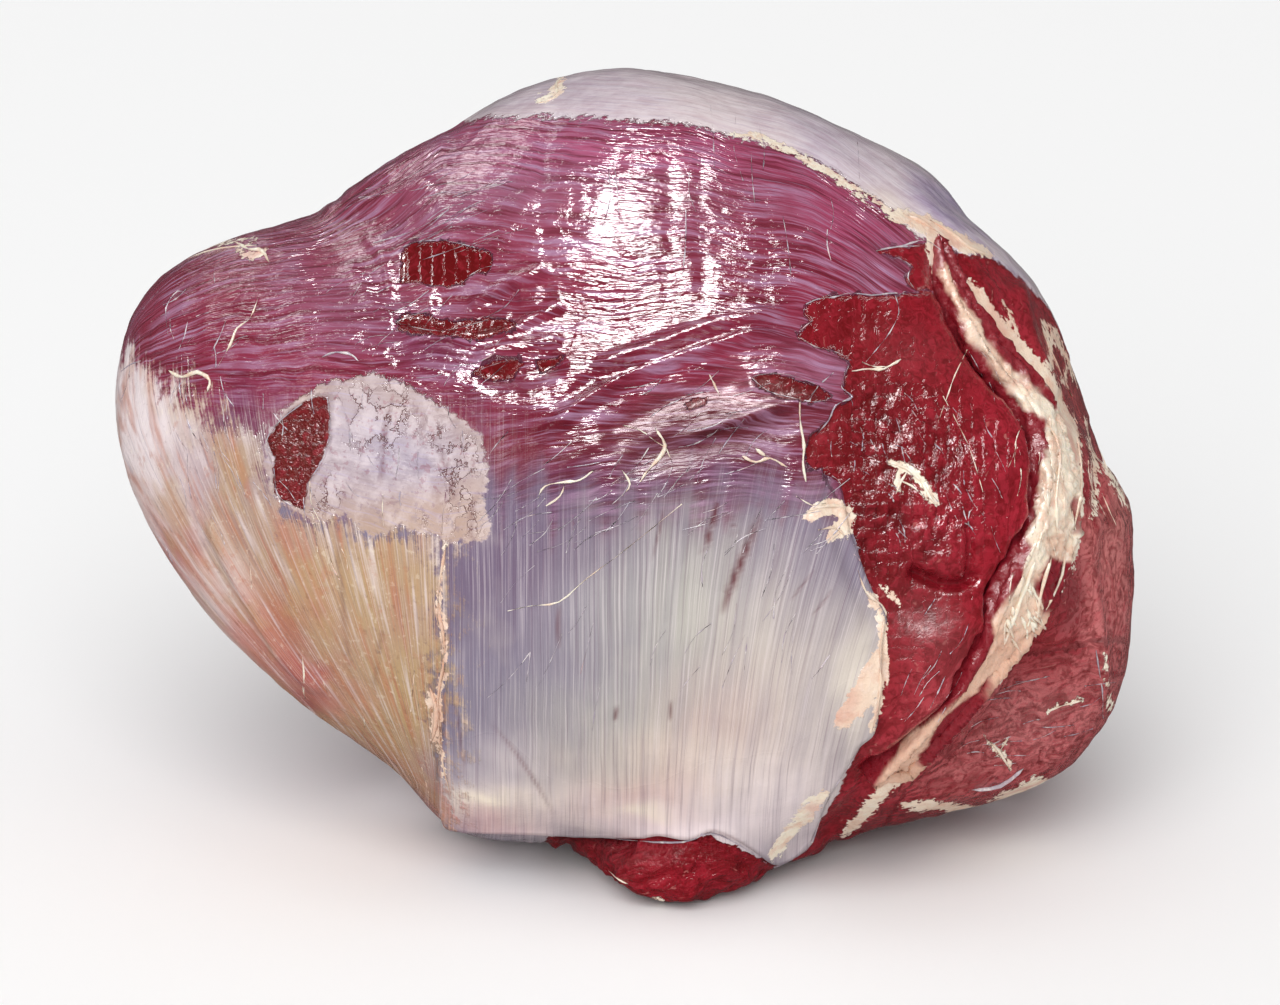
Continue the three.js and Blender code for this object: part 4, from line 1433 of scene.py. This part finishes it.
def wisps(fields, skin):
    """Lines of thin wisps spread over fields of the photograph, those that lie on the skin."""
    draws = random.Random(5)
    made = []
    for (x0, y0), (x1, y1), angle, spread, length, thickness, count in fields:
        for _ in range(count):
            middle = np.array([draws.uniform(x0, x1), draws.uniform(y0, y1)])
            turn = math.radians(angle + draws.uniform(-spread, spread))
            step = np.array([math.cos(turn), math.sin(turn)]) * length * draws.uniform(0.3, 0.7)
            bend = np.array([-step[1], step[0]]) * draws.uniform(-0.2, 0.2)
            line = [middle - step, middle + bend, middle + step]
            thick = thickness * draws.uniform(0.7, 1.4)
            if len(skin.shown(line)) == len(line):
                made.append((line, thick))
    return made


def strands(name, lines, skin):
    """Tapering strands laid on the skin along lines of the photograph, as one piece."""
    bpy.ops.object.select_all(action="DESELECT")
    bpy.ops.curve.primitive_nurbs_path_add()
    piece = bpy.context.object
    piece.name = name
    path = piece.data
    path.splines.clear()
    for line, thickness in lines:
        spots = skin.shown(curve(line, 3))
        if len(spots) < 3:
            raise RuntimeError(f"A strand of {name} misses the meat")
        toward = camera_point() - spots
        toward /= np.linalg.norm(toward, axis=1)[:, None]
        spots = spots + toward * thickness * 0.15 * MM
        along = np.linspace(0, 1, len(spots))
        radius = 0.04 + 0.5 * (4 * along * (1 - along)) ** 0.7
        radius *= 1 + 0.85 * lumps(spots / MM, 1.7, 7)
        spline = path.splines.new("POLY")
        spline.points.add(len(spots) - 1)
        spline.points.foreach_set("co", np.hstack([spots, np.ones((len(spots), 1))]).ravel())
        spline.points.foreach_set("radius", radius * thickness / 2)
    path.bevel_depth = MM
    path.bevel_resolution = 1
    path.use_fill_caps = True
    only(piece)
    bpy.ops.object.convert(target="MESH")
    piece.data.name = name
    points = mesh_points(piece.data)
    normals = mesh_normals(piece.data)
    ragged = 0.2 * lumps(points / MM, 0.9, 9) - 0.12 * np.abs(normals @ OUT)
    set_points(piece.data, points + normals * (ragged * MM)[:, None])
    store(piece.data, "peachy", lay(np.zeros(len(points)), Place(points), PEACH_WASHES))
    return piece


class KNUCKLE_OT_lips(bpy.types.Operator):
    """Lays lips and wisps of film on the meat and the sheet, and pale wisps on the bare muscle as painted wet
    glints.
    """

    bl_idname = "knuckle.lips"
    bl_label = "Film Lips and Glints"

    def execute(self, context):
        meshes = [bpy.data.objects[name].data for name in ("meat", "tendon_sheet", "seam_fat")]
        skins["dressed"] = Skin(*meshes)
        skin = skins["dressed"]
        piece = strands("film_lips", LIPS + wisps(LIP_AND_GLINT_WISPS, skin), skin)
        finish(piece, soft_material("lip_and_glint_film", "haze_and_sheen", "pearl", "pink"))
        return {"FINISHED"}


class KNUCKLE_OT_strands(bpy.types.Operator):
    """Lays strands, shreds and clumps of fat on the meat and the sheet."""

    bl_idname = "knuckle.strands"
    bl_label = "Fat Strands"

    def execute(self, context):
        skin = skins["dressed"]
        piece = strands("fat_strands", FAT_STRANDS + wisps(FAT_WISPS, skin), skin)
        finish(piece, bpy.data.materials["knuckle_fat"])
        return {"FINISHED"}


class KNUCKLE_OT_groups(bpy.types.Operator):
    """Makes the shader groups for threads and torn edges."""

    bl_idname = "knuckle.groups"
    bl_label = "Threads and Torn Edges"

    def execute(self, context):
        thread_group()
        edge_group()
        fat_group()
        return {"FINISHED"}


class KNUCKLE_OT_meat(bpy.types.Operator):
    """Models the meat with its film, windows and bare muscle."""

    bl_idname = "knuckle.meat"
    bl_label = "Meat"

    def execute(self, context):
        meat = copy_of_node("beef_knuckle", "meat")
        apply_modifier(meat, "REMESH", mode="VOXEL", voxel_size=sizes().grain)
        apply_modifier(meat, "SMOOTH", factor=0.5, iterations=24)
        middles, normals = face_places(meat.data)
        subdivide(meat, normals @ OUT > -0.12)
        middles, normals = face_places(meat.data)
        place = Place(middles)
        fine = np.zeros(len(middles), bool)
        for x, y, wide, high in FINE_PARTS:
            fine |= (((place.pixel - (x, y)) / (wide, high)) ** 2).sum(1) < 1
        subdivide(meat, fine & (normals @ OUT > 0) & (place.out > 0))
        apply_modifier(meat, "SMOOTH", factor=0.5, iterations=8)
        front = np.flatnonzero(Place(mesh_points(meat.data)).out > 0)
        meat.vertex_groups.new(name="front").add(front.tolist(), 1, "REPLACE")
        apply_modifier(meat, "SMOOTH", factor=0.5, iterations=34, vertex_group="front")
        meat.vertex_groups.clear()
        skins["plain"] = Skin(meat.data)
        points = mesh_points(meat.data)
        place = Place(points)
        place.regions()
        raised = points + mesh_normals(meat.data) * (relief(place) * MM)[:, None]
        raised[:, 2] = np.maximum(raised[:, 2], 0)
        set_points(meat.data, raised)
        skins["meat"] = Skin(meat.data)
        paint(meat.data, skins["plain"])
        finish(meat, skin_material(), "beef_knuckle")
        return {"FINISHED"}


class KNUCKLE_OT_sheet(bpy.types.Operator):
    """Lays the tendon sheet over the front, free at its lower and right edges."""

    bl_idname = "knuckle.sheet"
    bl_label = "Tendon Sheet"

    def execute(self, context):
        thick = sizes().sheet / MM

        def lift(distance, place):
            x, y = place.pixel.T
            free = np.maximum(smooth(560, 700, y), smooth(760, 820, x))
            rise = thick * (0.5 + 0.5 * smooth(0, 1.2, distance)) * free
            sunk = 0.8 * (1 - free) * smooth(14, 0, distance)
            ripple = 0.12 * lumps(sheet_threads(place) / (3.2, 40, 1), 1, 91)
            return rise - sunk + ripple + 0.3 * uneven(place.millimetres, 14, 93)

        step = sizes().sheet_grain / MM / MM_PER_PIXEL
        sheet = draped("tendon_sheet", TENDON_SHEET, step, lift, thick, skins["meat"], 30)
        paint(sheet.data, skins["plain"])
        layer = sheet.data.attributes
        count = len(sheet.data.vertices)
        for name in ("bare", "pale"):
            layer[name].data.foreach_set("value", np.full(count, -9, np.float32))
        from_left = (Place(mesh_points(sheet.data)).spread[:, 0] - SHEET_LEFT) * MM_PER_PIXEL
        layer["tan"].data.foreach_set("value", (-0.7 * from_left).astype(np.float32))
        finish(sheet, bpy.data.materials["knuckle_skin"])
        return {"FINISHED"}


class KNUCKLE_OT_seam(bpy.types.Operator):
    """Models the fat of the seam, lumpy and stringy."""

    bl_idname = "knuckle.seam"
    bl_label = "Fat Seam"

    def execute(self, context):
        seam = copy_of_node("fat_seam", "seam_fat")
        apply_modifier(seam, "REMESH", mode="VOXEL", voxel_size=0.0009)
        apply_modifier(seam, "SMOOTH", factor=0.5, iterations=16)
        points = mesh_points(seam.data)
        place = Place(points)
        normals = mesh_normals(seam.data)
        outward = (points - MIDDLE) / np.square(MEAT_RADII)
        outward /= np.linalg.norm(outward, axis=1)[:, None]
        flatten = smooth(0.1, 0.8, (normals * outward).sum(1))
        threads = flesh_threads(place) + place.warp
        stringy = 1 - 2 * np.abs(lumps(threads / (2.2, 12, 8), 1, 33))
        curds = uneven(place.millimetres, 4.5, 35)
        wide = smooth(60, 30, np.abs(place.up - 2))
        height = -0.2 - 2.2 * flatten + (0.5 + 0.6 * wide) * stringy + (0.6 + 0.8 * wide) * curds
        height -= 1.5 * smooth(-34, -52, place.up) * flatten
        set_points(seam.data, points + normals * (height * MM)[:, None])
        store(seam.data, "peachy", 1 - 0.85 * smooth(50, 15, np.abs(place.up - 4)))
        store(seam.data, "covered", smooth(0.5, -0.7, place.signed(FAT_STRIP)) * place.front)
        finish(seam, soft_material("knuckle_fat", "cream", "peach", "pink"), "fat_seam")
        return {"FINISHED"}


class KNUCKLE_OT_stage(bpy.types.Operator):
    """Sets the pale floor, the soft lights and the camera."""

    bl_idname = "knuckle.stage"
    bl_label = "Stage"

    def execute(self, context):
        bpy.ops.object.select_all(action="DESELECT")
        bpy.ops.mesh.primitive_circle_add(vertices=96, radius=5, fill_type="NGON", location=(0, 0, 0))
        floor = bpy.context.object
        floor.name = "floor"
        bpy.ops.object.mode_set(mode="EDIT")
        bpy.ops.mesh.select_all(action="SELECT")
        bpy.ops.mesh.inset(thickness=1.5)
        bpy.ops.object.mode_set(mode="OBJECT")
        floor.data.materials.append(floor_material())
        floor.visible_glossy = False

        scene = bpy.context.scene
        scene.view_settings.view_transform = "Standard"
        # The room lights softly from all round, but shines back dimly from wet surfaces.
        world = bpy.data.worlds.new("white_room")
        world.use_nodes = True
        nodes = Nodes(world.node_tree)
        rays = nodes.add("LightPath").outputs
        strength = nodes.blend(rays["Is Glossy Ray"], 0.55, 0.07)
        strength = nodes.blend(rays["Is Camera Ray"], strength, 1.0)
        background = world.node_tree.nodes["Background"]
        background.inputs["Color"].default_value = (1, 1, 1, 1)
        nodes.feed(background.inputs["Strength"], strength)
        scene.world = world
        # Panels that shine in the wet film: place, target, width, depth and power.
        for name, place, target, wide, deep, power in (
            ("overhead", (-0.17, -0.34, 1.2), (0, -0.05, 0.14), 0.6, 0.76, 48),
            ("back", (-0.75, 0.95, 0.95), (0, 0, 0.15), 0.5, 0.4, 3),
            ("left", (-1.05, -0.75, 0.36), (-0.05, -0.07, 0.12), 0.45, 0.45, 1.6),
        ):
            light = bpy.data.lights.new(name, "AREA")
            light.shape = "RECTANGLE"
            light.size = wide
            light.size_y = deep
            light.energy = power
            thing = bpy.data.objects.new(name, light)
            thing.visible_diffuse = False
            thing.location = place
            thing.rotation_euler = (Vector(target) - Vector(place)).to_track_quat("-Z", "Y").to_euler()
            scene.collection.objects.link(thing)
        # Wide soft daylight from the front, above and a little left, without a shine.
        daylight = bpy.data.lights.new("daylight", "SUN")
        daylight.energy = 2.1
        daylight.angle = math.radians(50)
        thing = bpy.data.objects.new("daylight", daylight)
        thing.visible_glossy = False
        thing.rotation_euler = Vector((0.12, 0.75, -0.65)).to_track_quat("-Z", "Y").to_euler()
        scene.collection.objects.link(thing)

        lens = bpy.data.cameras.new("camera")
        lens.sensor_width = SENSOR_WIDTH
        lens.lens = SENSOR_WIDTH * CAMERA_DISTANCE / (PHOTO_WIDTH * MM_PER_PIXEL)
        lens.clip_start = 0.05
        lens.clip_end = 50
        camera = bpy.data.objects.new("camera", lens)
        camera.location = Vector(camera_point())
        camera.rotation_euler = (math.pi / 2 - LEAN, 0, 0)
        scene.collection.objects.link(camera)
        scene.camera = camera
        return {"FINISHED"}


class KNUCKLE_PT_panel(bpy.types.Panel):
    """Lists the sizes, the colours and the steps."""

    bl_label = "Raw Beef Knuckle"
    bl_idname = "KNUCKLE_PT_panel"
    bl_space_type = "VIEW_3D"
    bl_region_type = "UI"
    bl_category = "Knuckle"

    def draw(self, context):
        for group in (context.scene.knuckle_sizes, context.scene.knuckle_colours):
            for name in group.__annotations__:
                self.layout.prop(group, name)
        for step in STEPS:
            self.layout.operator(step.bl_idname)


STEPS = (
    KNUCKLE_OT_groups, KNUCKLE_OT_meat, KNUCKLE_OT_sheet, KNUCKLE_OT_seam, KNUCKLE_OT_lips,
    KNUCKLE_OT_strands, KNUCKLE_OT_stage,
)
CLASSES = (KnuckleColours, KnuckleSizes, *STEPS, KNUCKLE_PT_panel)


def register():
    for cls in CLASSES:
        bpy.utils.register_class(cls)
    bpy.types.Scene.knuckle_colours = bpy.props.PointerProperty(type=KnuckleColours)
    bpy.types.Scene.knuckle_sizes = bpy.props.PointerProperty(type=KnuckleSizes)


def unregister():
    del bpy.types.Scene.knuckle_sizes
    del bpy.types.Scene.knuckle_colours
    for cls in reversed(CLASSES):
        bpy.utils.unregister_class(cls)


def main():
    register()
    bpy.ops.knuckle.groups()
    bpy.ops.knuckle.meat()
    bpy.ops.knuckle.sheet()
    bpy.ops.knuckle.seam()
    bpy.ops.knuckle.lips()
    bpy.ops.knuckle.strands()
    bpy.ops.knuckle.stage()


if __name__ == "__main__":
    main()
